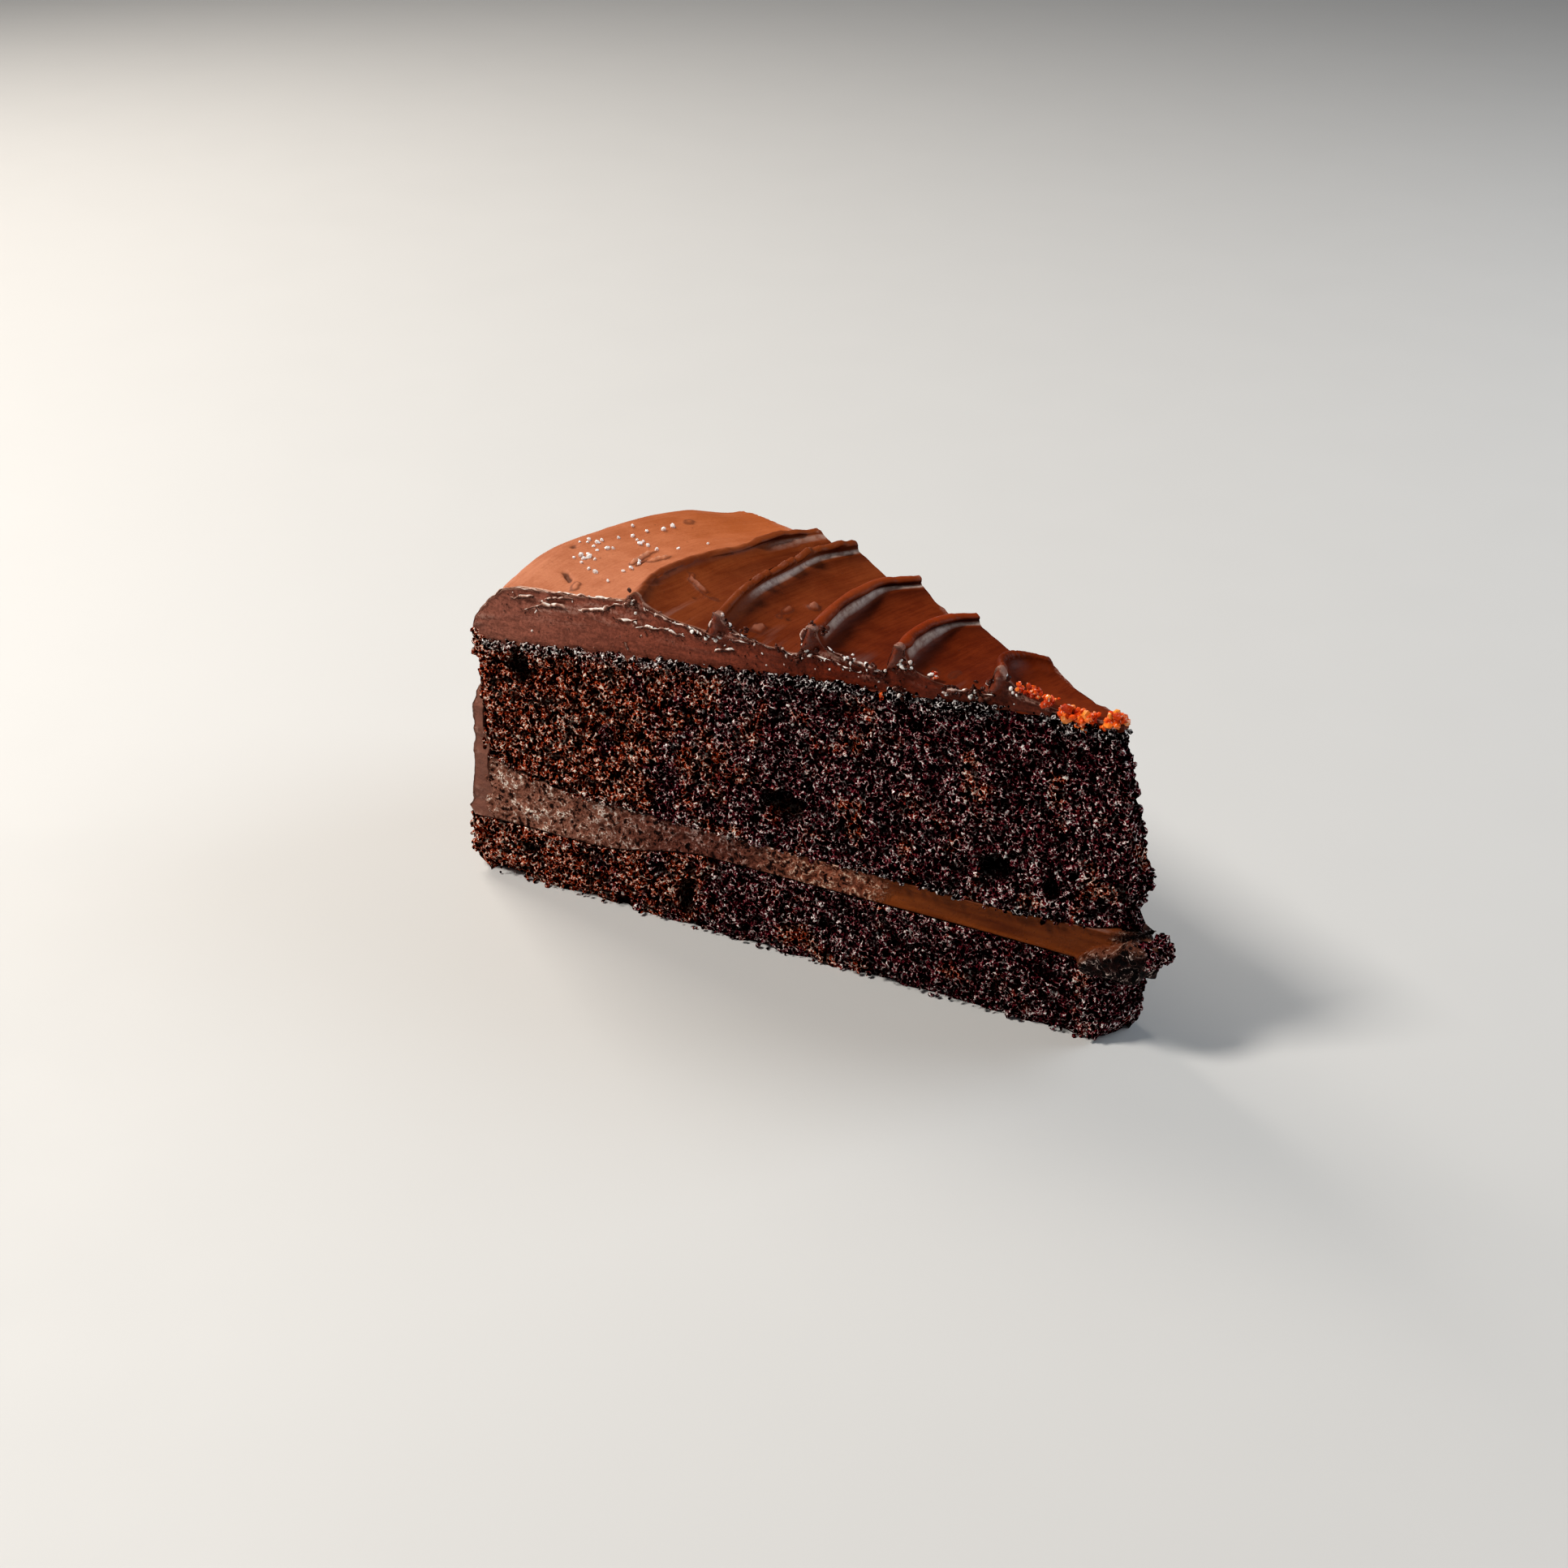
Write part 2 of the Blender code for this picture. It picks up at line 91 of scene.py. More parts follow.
def chance(cells, seed):
    # a steady random number from 0 to 1 for each whole-numbered cell
    x, y, z = (cells[..., axis].astype(np.uint64) for axis in range(3))
    mixed = x * np.uint64(73856093) ^ y * np.uint64(19349663) ^ z * np.uint64(83492791)
    mixed = mixed ^ np.uint64(seed * 2654435761)
    mixed = (mixed ^ (mixed >> np.uint64(13))) * np.uint64(1274126177)
    mixed = (mixed ^ (mixed >> np.uint64(16))) & np.uint64(0xFFFFFF)
    return mixed.astype(float) / 0xFFFFFF


def soft(points, size, seed=1):
    # smooth unevenness from -1 to 1, in bumps of that size
    place = points / np.asarray(size, float) + 1000.0
    cell = np.floor(place)
    t = place - cell
    t = t * t * (3 - 2 * t)
    total = 0.0
    for corner in np.ndindex(2, 2, 2):
        weight = np.prod(np.where(corner, t, 1 - t), axis=-1)
        total = total + weight * chance(cell + np.array(corner), seed)
    return total * 2 - 1


def grains(points, size, seed=1):
    # distance to the nearest of scattered points, counted in sizes, and that point's own random number
    place = points / np.asarray(size, float) + 1000.0
    cell = np.floor(place)
    nearest = np.full(place.shape[:-1], 9.0)
    own = np.zeros(place.shape[:-1])
    for step in np.ndindex(3, 3, 3):
        there = cell + np.array(step) - 1
        spot = there + 0.1 + 0.8 * np.stack([chance(there, seed + axis) for axis in range(3)], axis=-1)
        distance = np.linalg.norm(place - spot, axis=-1)
        closer = distance < nearest
        nearest = np.where(closer, distance, nearest)
        own = np.where(closer, chance(there, seed + 7), own)
    return nearest, own


def planPoint(radius, share, height):
    # radius from the cake's middle, share of the way from the near cut to the far cut, and height
    angle = cake["angle"] * (share - 0.5)
    half = cake["angle"] / 2
    lean = cake["lean"] * np.maximum(0, 1 - height / cake["leanEnds"]) * share
    standOut = along(cake["pointOutline"], height) * np.exp(-radius / cake["pointReach"])
    x = -radius * np.cos(angle) + lean * math.sin(half) + standOut + cake["centre"][0]
    y = radius * np.sin(angle) + lean * math.cos(half) + cake["centre"][1]
    return np.stack(np.broadcast_arrays(x, y, height), axis=-1)


def outOf(share):
    # direction straight out of the near cut or the far cut
    half = cake["angle"] / 2
    return np.array((math.sin(half), math.cos(half) * (1 if share > 0.5 else -1), 0.0))


# heights of the layers' tops
layers = {
    "lowerTop": (16.2, 12.0, 83.0, 110.0),   # at the point, at the rim, and the radii between which it steps
    "fillingTop": 21.8,
    "rimRise": 2.2,                          # how much higher the filling reaches at the rim,
    "pointRise": 1.4,                        # at the point
    "cornerRise": 1.8,                       # and, on top of that, at the near corner
    "upperAtPoint": 62.0,
    "upperDrop": 12.4,                       # how far its dome falls from the point to the rim
    "domePower": 1.35,
}

# length of one face along each side of a layer, and the number of faces from its floor to its top
fineness = {
    "lowerSponge": {"near": 0.34, "point": 0.4, "far": 0.46, "rim": 0.5, "levels": 46},
    "fillingCream": {"near": 0.34, "point": 0.4, "far": 0.5, "rim": 1.6, "levels": 26},
    "upperSponge": {"near": 0.34, "point": 0.4, "far": 0.46, "rim": 1.6, "levels": 112},
}


def lowerTop(radius, share):
    atPoint, atRim, low, high = layers["lowerTop"]
    return atPoint + (atRim - atPoint) * ease(low, high, radius)


def fillingTop(radius, share):
    rise = layers["rimRise"] * ease(112, 133, radius) + layers["pointRise"] * (1 - ease(5, 25, radius))
    rise = rise + layers["cornerRise"] * ease(124, 134.5, radius) * (share < 0.5)
    return layers["fillingTop"] + rise


def upperTop(radius, share):
    return layers["upperAtPoint"] - layers["upperDrop"] * (radius / cake["radius"]) ** layers["domePower"]


def coveredRim():
    # the radius at which a layer ends behind the coat
    return cake["radius"] - icing["coat"] - cake["gap"] / 2


def nameActive(name):
    piece = bpy.context.object
    piece.name = piece.data.name = name
    return piece


def readPlaces(piece):
    flat = np.empty(len(piece.data.vertices) * 3)
    piece.data.vertices.foreach_get("co", flat)
    return flat.reshape(-1, 3)


def writePlaces(piece, places):
    piece.data.vertices.foreach_set("co", (places * mm).ravel())
    piece.data.update()


def addReading(piece, name, values):
    # a number on every vertex that the material reads
    reading = piece.data.attributes.new(name, "FLOAT", "POINT")
    reading.data.foreach_set("value", np.asarray(values, np.float32))


def outline(rimRadius, steps):
    # radii and shares round the slice: near cut to the point, across it, back along the far cut, rim
    pointWidth, fewest = 4.0, 4
    lengths = {"near": rimRadius, "point": pointWidth, "far": rimRadius, "rim": rimRadius * cake["angle"]}
    count = {side: max(fewest, int(round(length / steps[side]))) for side, length in lengths.items()}
    point = cake["pointRadius"]
    radius = np.concatenate([np.linspace(rimRadius, point, count["near"], endpoint=False),
                             np.full(count["point"], point),
                             np.linspace(point, rimRadius, count["far"], endpoint=False),
                             np.full(count["rim"] + 1, rimRadius)])
    share = np.concatenate([np.zeros(count["near"]), np.linspace(0, 1, count["point"], endpoint=False),
                            np.ones(count["far"]), np.linspace(1, 0, count["rim"] + 1)])
    return radius, share


def wrappedLayer(name, rimRadius, floorOf, ceilingOf, relief):
    # a sheet wrapped round the slice's outline, closed at the seam and filled above and below;
    # relief gives how far each vertex is pushed out, and the readings for the material
    steps = fineness[name]
    radius, share = outline(rimRadius, steps)
    columns, rows = len(radius) - 1, steps["levels"]
    bpy.ops.mesh.primitive_grid_add(x_subdivisions=columns, y_subdivisions=rows, size=1)
    piece = nameActive(name)
    at = readPlaces(piece)
    column = np.rint((at[:, 0] + 0.5) * columns).astype(int)
    level = np.rint((at[:, 1] + 0.5) * rows).astype(int) / rows
    r, s = radius[column], share[column]
    low, high = floorOf(r, s), ceilingOf(r, s)
    height = low + (high - low) * level
    spot = planPoint(r, s, height)
    before = planPoint(radius[(column - 1) % columns], share[(column - 1) % columns], height)
    after = planPoint(radius[(column + 1) % columns], share[(column + 1) % columns], height)
    run = after - before
    push = np.stack([run[:, 1], -run[:, 0], np.zeros(len(run))], axis=1)
    push /= np.linalg.norm(push, axis=1, keepdims=True)
    edge = ease(0, 0.8, np.minimum(height - low, high - height))
    depth, readings = relief(spot, r, s, height, edge)
    spot[:, 2] -= readings.pop("drop", 0)      # how far a vertex droops
    writePlaces(piece, spot + push * depth[:, None])
    for label, values in readings.items():
        addReading(piece, label, values)
    bpy.ops.object.mode_set(mode="EDIT")
    bpy.ops.mesh.select_all(action="SELECT")
    bpy.ops.mesh.remove_doubles(threshold=0.000001)
    bpy.ops.mesh.fill_holes(sides=0)
    bpy.ops.mesh.select_all(action="SELECT")
    bpy.ops.mesh.normals_make_consistent(inside=False)
    bpy.ops.mesh.quads_convert_to_tris(quad_method="BEAUTY", ngon_method="BEAUTY")
    bpy.ops.object.mode_set(mode="OBJECT")
    bpy.ops.object.shade_smooth()
    return piece


# crumb: grains of sponge with gaps between them, small pores and a few torn pockets
crumb = {
    "grainSize": 1.25,
    "grainHeight": 0.85,
    "poreSize": 3.4,
    "poreShare": 0.45,           # of all pores, how many are open
    "poreDepth": 1.3,
    "swellSize": 5.5,
    "swellDepth": 0.5,
    "footHeight": 2.6,           # the foot is worn and ragged below this
    "corner": (1.7, 3.6),        # how far the near corner's foot is worn back, and up to what height
    "recess": (3.2, 21.5, 28.6), # depth of the hollow at the point, over the filling, and its heights
    # the moist strip gets more painted glints in the material
    "stripHeight": 2.6,          # of the moist strip under the icing
    "pockets": (                 # share, radius, height, half width, half height, depth
        (0, 125.2, 46.6, 2.5, 3.9, 3.8), (0, 67.4, 31.4, 4.6, 2.9, 4.0), (0, 24.8, 29.6, 3.2, 2.8, 3.8),
        (0, 14.6, 28.6, 1.5, 2.3, 3.0), (0, 88.6, 6.8, 2.0, 4.0, 3.4), (0, 125.0, 7.4, 1.7, 1.5, 2.0),
        (0, 103.5, 1.2, 2.4, 1.4, 2.0), (0, 70.4, 23.9, 1.0, 0.9, 1.6), (0, 98.0, 38.0, 1.3, 0.9, 1.6),
        (0, 45.0, 44.0, 1.1, 1.0, 1.6), (0, 112.0, 33.0, 1.0, 1.2, 1.6), (0, 31.0, 48.0, 1.0, 0.8, 1.4),
        (1, 112.0, 38.0, 2.8, 1.8, 3.0), (1, 74.0, 45.0, 1.6, 2.6, 2.6), (1, 40.0, 34.0, 2.0, 1.6, 2.4),
        (1, 96.0, 6.0, 2.2, 1.6, 2.4), (1, 52.0, 9.0, 1.6, 1.8, 2.4),
    ),
}


def pocketDepth(radius, share, height, spot):
    depth = np.zeros(len(radius))
    ragged = 0.28 * soft(spot, 1.3, 31)
    for side, r, z, halfWidth, halfHeight, deep in crumb["pockets"]:
        away = np.hypot((radius - r) / halfWidth, (height - z) / halfHeight) + ragged
        depth = np.maximum(depth, deep * np.sqrt(np.clip(1 - away ** 2, 0, 1)) * (np.abs(share - side) < 0.01))
    return depth


def crumbRelief(spot, radius, share, height, edge):
    away, own = grains(spot, crumb["grainSize"], 3)
    dome = np.sqrt(np.clip(1 - (away / 0.72) ** 2, 0, 1)) * (0.5 + 0.5 * own)
    finer, _ = grains(spot, crumb["grainSize"] * 0.55, 5)
    poreAway, poreOwn = grains(spot, crumb["poreSize"], 9)
    pore = ease(0.42, 0.1, poreAway) * (poreOwn < crumb["poreShare"])
    swell = crumb["swellDepth"] * soft(spot, crumb["swellSize"], 13)
    pocket = pocketDepth(radius, share, height, spot)
    depth = crumb["grainHeight"] * (dome - 0.7) + 0.2 * (0.5 - finer)
    depth = depth - crumb["poreDepth"] * pore + swell * edge
    depth = depth * (0.45 + 0.55 * edge) - pocket
    foot = 1 - ease(0, crumb["footHeight"], height)
    depth = depth - foot * (0.75 + 0.85 * soft(spot, 3.2, 15) + 0.9 * np.maximum(0, soft(spot, 7, 17)))
    worn, wornHeight = crumb["corner"]
    depth = depth - worn * (1 - ease(0, wornHeight, height)) * ease(122, 137, radius) * (share < 0.5)
    hollow, low, high = crumb["recess"]
    depth = depth - hollow * ease(9, 3.2, radius) * ease(high, high - 2, height) * (height > low)
    # a groove under the icing, and the moist strips under it and under the filling's torn part, where the material
    # paints more glints
    below = upperTop(radius, share) - height
    depth = depth - 0.5 * hump(1.0, 1.1, below) * (0.6 + 0.8 * soft(spot, 2.4, 18))
    strip = hump(0, crumb["stripHeight"], below) * (0.7 + 0.5 * soft(spot, 5, 19))
    sunk = lowerTop(radius, share) - height
    strip = np.maximum(strip, 0.9 * hump(1.2, 1.4, sunk) * hump(112, 14, radius))
    # how far the crumb sinks into its gaps, pores and pockets, which the material paints near black as shade
    pit = np.clip(1.05 - 1.1 * dome + 0.9 * pore + pocket / 0.9, 0, 1)
    return depth, {"pit": pit, "own": own, "strip": strip}


def makeUpperSponge():
    floorOf = lambda r, s: fillingTop(r, s) + cake["gap"]
    return wrappedLayer("upperSponge", coveredRim(), floorOf, upperTop, crumbRelief)


def makeLowerSponge():
    return wrappedLayer("lowerSponge", cake["radius"] + 0.2, lambda r, s: 0 * r, lowerTop, crumbRelief)


# filling: torn and crumby near the rim, smeared smooth towards the point
filling = {
    "smooth": 46,            # the radius from which it is smooth, down to the point
    "recess": 0.55,          # how far the smooth part lies behind the cuts
    "flap": (10.6, 9.0),     # the radii over which a flap of cream starts to curl out at the point
    "flapDrop": 2.6,         # how far it droops over the lower layer
    "pointRecess": 2.6,      # how far the cream above the flap is set back
}


def fillingRelief(spot, radius, share, height, edge):
    end = filling["smooth"]
    smooth = 1 - ease(end - 3, end + 6, radius + 3 * soft(spot, 4, 2))
    away, own = grains(spot * np.array((1, 1, 1.3)), 1.7, 21)
    rough = 0.5 * soft(spot, 2.6, 23) + 0.42 * (0.55 - away) + 0.22 * soft(spot, 0.8, 24)
    floor = lowerTop(radius, share)
    across = np.clip((height - floor) / (fillingTop(radius, share) - floor), 0, 1)
    scoop = -filling["recess"] * (0.4 + 0.6 * np.sin(math.pi * across)) + 0.08 * soft(spot, (7, 7, 0.9), 25)
    # the flap: brim is how far up the filling it reaches
    brim = 0.08 + 0.44 * ease(10.5, 6.8, radius) + 0.34 * ease(7, 2.6, radius) + 0.09 * soft(spot, 2.2, 28)
    flap = ease(*filling["flap"], radius) * (share < 0.7) * ease(brim + 0.06, brim - 0.06, across)
    curl = flap * (1.5 + 0.5 * soft(spot, 2.4, 27) + 0.7 * hump(brim - 0.1, 0.16, across))
    depth = rough * (1 - smooth + 0.9 * flap) + scoop * smooth * (1 - flap) + curl
    depth = depth - filling["pointRecess"] * ease(6, 2.8, radius) * (1 - flap)
    drop = filling["flapDrop"] * flap * np.clip(1 - across / brim, 0, 1) * (0.8 + 0.5 * soft(spot, 3, 29))
    # the flap's upper edge, which the material paints with a highlight
    lit = flap * hump(brim, 0.05, across)
    torn = np.maximum(flap, ease(6.5, 3.2, radius))
    readings = {"smooth": smooth * (1 - torn), "own": own, "flap": torn, "lit": lit}
    readings["drop"] = np.maximum(0, drop)
    return depth * (0.3 + 0.7 * edge), readings


def makeFilling():
    floorOf = lambda r, s: lowerTop(r, s) + cake["gap"]
    return wrappedLayer("fillingCream", coveredRim(), floorOf, fillingTop, fillingRelief)


# icing: one skin that runs from the point, over the swept top and the shoulder, down the outer wall
icing = {
    # the widest sweep: distance in from the wall, and height
    "shoulder": ((0, 52.8), (0.5, 54.8), (2, 56.9), (4.4, 59.6), (7, 62), (10.5, 63), (16.5, 63.5), (24, 64.2),
                 (30, 64.9), (34, 65.6)),
    "fuller": 2.0,                   # how much higher it is midway between the cuts
    "farDrop": 2.8,                  # and how much lower at the far cut
    "cornerDraw": 1.6,               # how far the near corner is drawn in
    "coat": 2.6,                     # thickness of the coat on the wall
    "coatTear": (40, 51, 0.05),      # between which heights, and how far in from the near cut
    "coatFoot": 1.8,                 # how much thicker the coat gets at its foot, at the near cut
    # the crests, from the rim to the point: radii at even steps from cut to cut, heights at both cuts
    "crestRadii": ((98.5, 101.6, 101.8, 100.2, 101.6, 101.0), (80.8, 82.6, 84.4, 85.6, 87.8, 87.2),
                   (61.6, 63.0, 64.5, 66.1, 67.3, 65.5), (44.4, 45.4, 46.3, 47.3, 47.8, 46.8),
                   (24.9, 26.6, 27.9, 28.3, 27.6, 25.2)),
    "crestHeights": ((67.0, 65.2), (67.2, 67.1), (68.7, 67.5), (68.8, 66.7), (68.6, 66.2)),
    "crestBow": 0.5,                 # how much higher a crest is midway
    "troughs": (62.4, 63.0),         # height between the crests, at both cuts
    "farTrough": 61.7,               # a sweep falls evenly at the far cut, down to this height
    "tipHeight": 63.0,
    # for each crest: how far it curls over, how wide the wall under it spreads, how much painted light its rolled
    # edge gets, how much painted shade right under the roll and down the wall, and how much painted grey reflection
    # the wall gets, with the shares between which the grey sets in
    "lip": (0.5, 0.35, 1.0, 0.9, 0.15),
    "spread": (2.0, 1.15, 1.0, 1.0, 1.3),
    "roll": (0.35, 0.25, 1.0, 0.9, 0.2),
    "undercut": (0.8, 0.1, 1.0, 1.0, 0.3),
    "shaded": (0.5, 1, 1, 1, 0.5),
    "dull": (0.35, 1.0, 1.0, 0.9, 0.0),
    "greyFrom": ((0.72, 0.84), (0.22, 0.42), (0.06, 0.16), (0.06, 0.16), (0.06, 0.16)),
    "torn": ((0.5, 0.65, 0.5), (0.12, 0.25, 1)),     # the first two crests: from which shares, how much
    # across a crest: distance towards the point, fall from the crest in a full sweep, the same two
    # where the crest is only rounded over, and the tone: 1 grey where it mirrors the sky, -1 in shade
    "fullSweep": 5.0,
    "profile": (
        (-3.0, -5.0, -3.0, -5.0, 0), (-2.45, -4.7, -2.45, -4.7, 0), (-1.95, -3.9, -1.95, -3.9, 0),
        (-1.55, -2.8, -1.55, -2.8, 0), (-1.2, -1.7, -1.2, -1.7, 0), (-0.9, -0.9, -0.9, -0.9, 0),
        (-0.6, -0.35, -0.6, -0.4, 0), (-0.2, -0.05, -0.3, -0.1, 0), (0.3, 0.05, 0.0, 0.0, 0),
        (0.85, -0.02, 0.3, -0.05, 0), (1.35, -0.22, 0.55, -0.2, 0), (1.66, -0.56, 0.75, -0.4, 0),
        (1.6, -0.9, 0.9, -0.6, -0.5), (1.25, -1.1, 1.0, -0.8, -1), (0.85, -1.2, 1.08, -1.0, -1),
        (0.7, -1.4, 1.15, -1.2, -1), (0.8, -1.7, 1.22, -1.4, 0.35), (1.05, -2.1, 1.35, -1.75, 1),
        (1.35, -2.6, 1.6, -2.2, 0.75), (1.75, -3.1, 1.95, -2.65, 0), (2.4, -3.55, 2.6, -3.2, -0.8),
        (3.4, -3.95, 3.6, -3.7, -0.6), (4.8, -4.3, 5.0, -4.15, -0.25), (6.8, -4.6, 7.0, -4.55, -0.05),
        (9.4, -4.85, 9.4, -4.85, 0),
    ),
    # stations along the skin: from the tip to the last crest, in each scoop, over the widest sweep, and
    # down the wall; rows from cut to cut; and levels from the underside to the skin
    "tipSteps": 22,
    "scoopSteps": 12,
    "sweepSteps": 84,
    "wallSteps": 56,
    "rows": 86,
    "levels": 22,
}
sweepWidth = icing["shoulder"][-1][0]


def crestRadius(crest, share):
    return smoothThrough(icing["crestRadii"][crest], share)


def crestHeight(crest, share):
    near, far = icing["crestHeights"][crest]
    return near + (far - near) * share + icing["crestBow"] * np.sin(math.pi * share)


def troughHeight(share):
    near, far = icing["troughs"]
    return near + (far - near) * share


def shoulderRadius(share):
    return cake["radius"] - icing["cornerDraw"] * (1 - ease(0, 0.22, share))


def shoulderHeight(distance, share):
    fuller = icing["fuller"] * ease(0, 0.3, share) * (1 - ease(0.78, 1, share))
    fuller = fuller * np.sin(math.pi * np.minimum(1, distance / 22) ** 0.45)
    lower = icing["farDrop"] * ease(0.55, 1, share) * ease(1, 9, distance)
    return along(icing["shoulder"], distance) + fuller - lower


def lineAlong(shares, seed, size):
    # unevenness along a crest, from -1 to 1
    spots = np.stack([shares * size, np.full(len(shares), seed * 3.1), np.zeros(len(shares))], axis=1)
    return soft(spots, 1.0, seed)


def crossCrest(crest, offset, fall, softOffset, softFall, share):
    # a point across a crest, with its lip more or less curled
    onset = ease(0.45, 0.75, share) if crest == 0 else ease(-0.05, 0.08, share)
    lip = np.clip(icing["lip"][crest] * onset * (0.95 + 0.4 * lineAlong(share, crest + 40, 8)), 0, 1.2)
    lip = lip * (1 - 0.75 * ease(0.86, 1, share))
    depth = (crestHeight(crest, share) - troughHeight(share)) / icing["fullSweep"]
    ragged = 0.0
    if offset > -0.6 and fall > -1.15:      # only the crown of the crest
        ragged = 0.14 * lineAlong(share, crest + 50, 24) + 0.08 * lineAlong(share, crest + 60, 60)
        if crest < len(icing["torn"]):
            low, high, amount = icing["torn"][crest]
            torn = 0.8 * lineAlong(share, crest + 71, 22) + 0.6 * lineAlong(share, crest + 73, 50)
            torn = torn + 1.8 * np.maximum(0, lineAlong(share, crest + 75, 11) - 0.05)
            ragged = ragged + torn * ease(low, high, share) * amount
    spread = 1 + (icing["spread"][crest] - 1) * ease(0.6, 2.2, softOffset)
    away = softOffset * spread + (offset - softOffset) * lip
    drop = softFall + (fall - softFall) * lip
    return crestRadius(crest, share) - away - ragged, crestHeight(crest, share) + drop * depth + ragged


def topStations(share):
    # radius, height and tones (grey or shaded, and lit roll) from the point to the wall, for every share
    stations = []
    profile = icing["profile"]
    halved = []
    for first, second in zip(profile, profile[1:]):
        halved += [first, tuple((a + b) / 2 for a, b in zip(first, second))]
    halved.append(profile[-1])
    last = len(icing["crestRadii"]) - 1
    evenly = 0.9 * ease(0.5, 1, share)
    plain = np.zeros((2, len(share)))
    for crest in range(last, -1, -1):
        swept = []
        end, endHeight = crossCrest(crest, *profile[-1][:4], share)
        # how much painted grey reflection, and how much painted shade, the wall under this crest gets
        grey = icing["dull"][crest] * ease(*icing["greyFrom"][crest], share)
        shaded = icing["shaded"][crest] * (ease(0.3, 0.6, share) if crest == 0 else 1)
        if crest == last:
            start, startHeight = cake["pointRadius"] + 0 * share, icing["tipHeight"] + 0 * share
            steps = icing["tipSteps"]
        else:
            start, startHeight = crestRadius(crest + 1, share) - profile[0][0], troughHeight(share)
            steps = icing["scoopSteps"]
        for step in range(steps):
            t = step / steps
            rise = (endHeight - startHeight) * t ** 1.6 - 0.12 * np.sin(math.pi * t)
            swept.append((start + (end - start) * t, startHeight + rise, plain))
        for offset, fall, softOffset, softFall, tone in reversed(halved):
            if crest > 0 or offset > -0.45:
                # painted light on the rolled edge, painted shade under it, and the painted grey reflection on the wall
                roll = hump(-0.1, 0.95, softOffset) * icing["roll"][crest] if softFall > -0.62 else 0
                under = shaded * icing["undercut"][crest] if fall > -1.45 else shaded
                tones = np.stack([tone * (grey if tone > 0 else under) + plain[0], roll + plain[0]])
                swept.append((*crossCrest(crest, offset, fall, softOffset, softFall, share), tones))
        # towards the far cut the sweep rises more evenly to the brow of its crest
        brow, browHeight = crestRadius(crest, share) - 1.3, crestHeight(crest, share) - 1.5
        for radius, height, tones in swept:
            t = np.clip((radius - start) / (brow - start), 0, 1)
            level = icing["farTrough"] + (browHeight - icing["farTrough"]) * t
            low = (height < browHeight) * (radius < brow + 0.6) * evenly * (crest < last)
            stations.append((radius, height + (level - height) * low, tones))
    stretch = (shoulderRadius(share) - crestRadius(0, share) - 0.8) / sweepWidth
    for step in range(icing["sweepSteps"]):
        where = sweepWidth * (1 - ((step + 1) / icing["sweepSteps"]) ** 0.75)
        stations.append((shoulderRadius(share) - where * stretch, shoulderHeight(where, share), plain))
    return stations


def wallStations(share):
    foot = lowerTop(cake["radius"], share) + cake["gap"]
    top = icing["shoulder"][0][1]
    plain = np.zeros((2, len(share)))
    stations = []
    for step in range(1, icing["wallSteps"] + 1):
        height = top + (foot - top) * step / icing["wallSteps"]
        bulge = 1.2 * (1 - ease(14, 30, height)) * ease(foot, foot + 2, height)
        drawn = (cake["radius"] - shoulderRadius(share)) * ease(38, 50, height)
        lag = 0.5 * (1 - ease(46, 52.8, height))
        curl = 1.3 * hump(13.4, 0.9, height) * (1 - ease(0, 0.08, share))
        stations.append((cake["radius"] - lag + bulge - drawn + curl, height + 0 * share, plain))
    return stations


def insideStations(outside, share, wallCount):
    # the icing's underside, and the coat's inner side, opposite each station outside
    inner, sunk = cake["radius"] - icing["coat"], 0.1
    nearness = 1 - ease(0, 0.12, share)
    stations = []
    for index, (radius, height, tones) in enumerate(outside):
        if index < len(outside) - wallCount:
            r = np.minimum(radius, inner)
            stations.append((r, upperTop(r, share) - sunk))
        else:
            corner = upperTop(inner, share) - sunk
            wander = soft(np.stack([height, 0 * height, 0 * height], axis=1), 2.3, 63)
            thicker = (wander + icing["coatFoot"] * ease(34, 17, height)) * ease(corner, corner - 4, height)
            stations.append((inner - nearness * thicker, np.minimum(height, corner)))
    return stations


def evenCuts(count):
    # the most parts, up to 100, that a run of so many faces is first divided into
    return max(parts for parts in range(1, 101) if count % parts == 0)


def fineBlock(name, counts):
    # a cube divided along each axis, in two rounds where one is too many
    bpy.ops.mesh.primitive_cube_add(size=1)
    piece = nameActive(name)
    for axis, count in enumerate(counts):
        length = 1.0
        for parts in (evenCuts(count), count // evenCuts(count)):
            if parts == 1:
                continue
            bpy.ops.object.mode_set(mode="EDIT")
            bpy.ops.mesh.select_mode(type="EDGE")
            bpy.ops.mesh.select_all(action="DESELECT")
            bpy.ops.object.mode_set(mode="OBJECT")
            at = readPlaces(piece)
            ends = np.empty(len(piece.data.edges) * 2, np.int32)
            piece.data.edges.foreach_get("vertices", ends)
            ends = ends.reshape(-1, 2)
            runs = np.abs(at[ends[:, 0], axis] - at[ends[:, 1], axis]) > length * 0.5
            piece.data.edges.foreach_set("select", runs)
            bpy.ops.object.mode_set(mode="EDIT")
            bpy.ops.mesh.subdivide(number_cuts=parts - 1)
            bpy.ops.object.mode_set(mode="OBJECT")
            length /= parts
    return piece


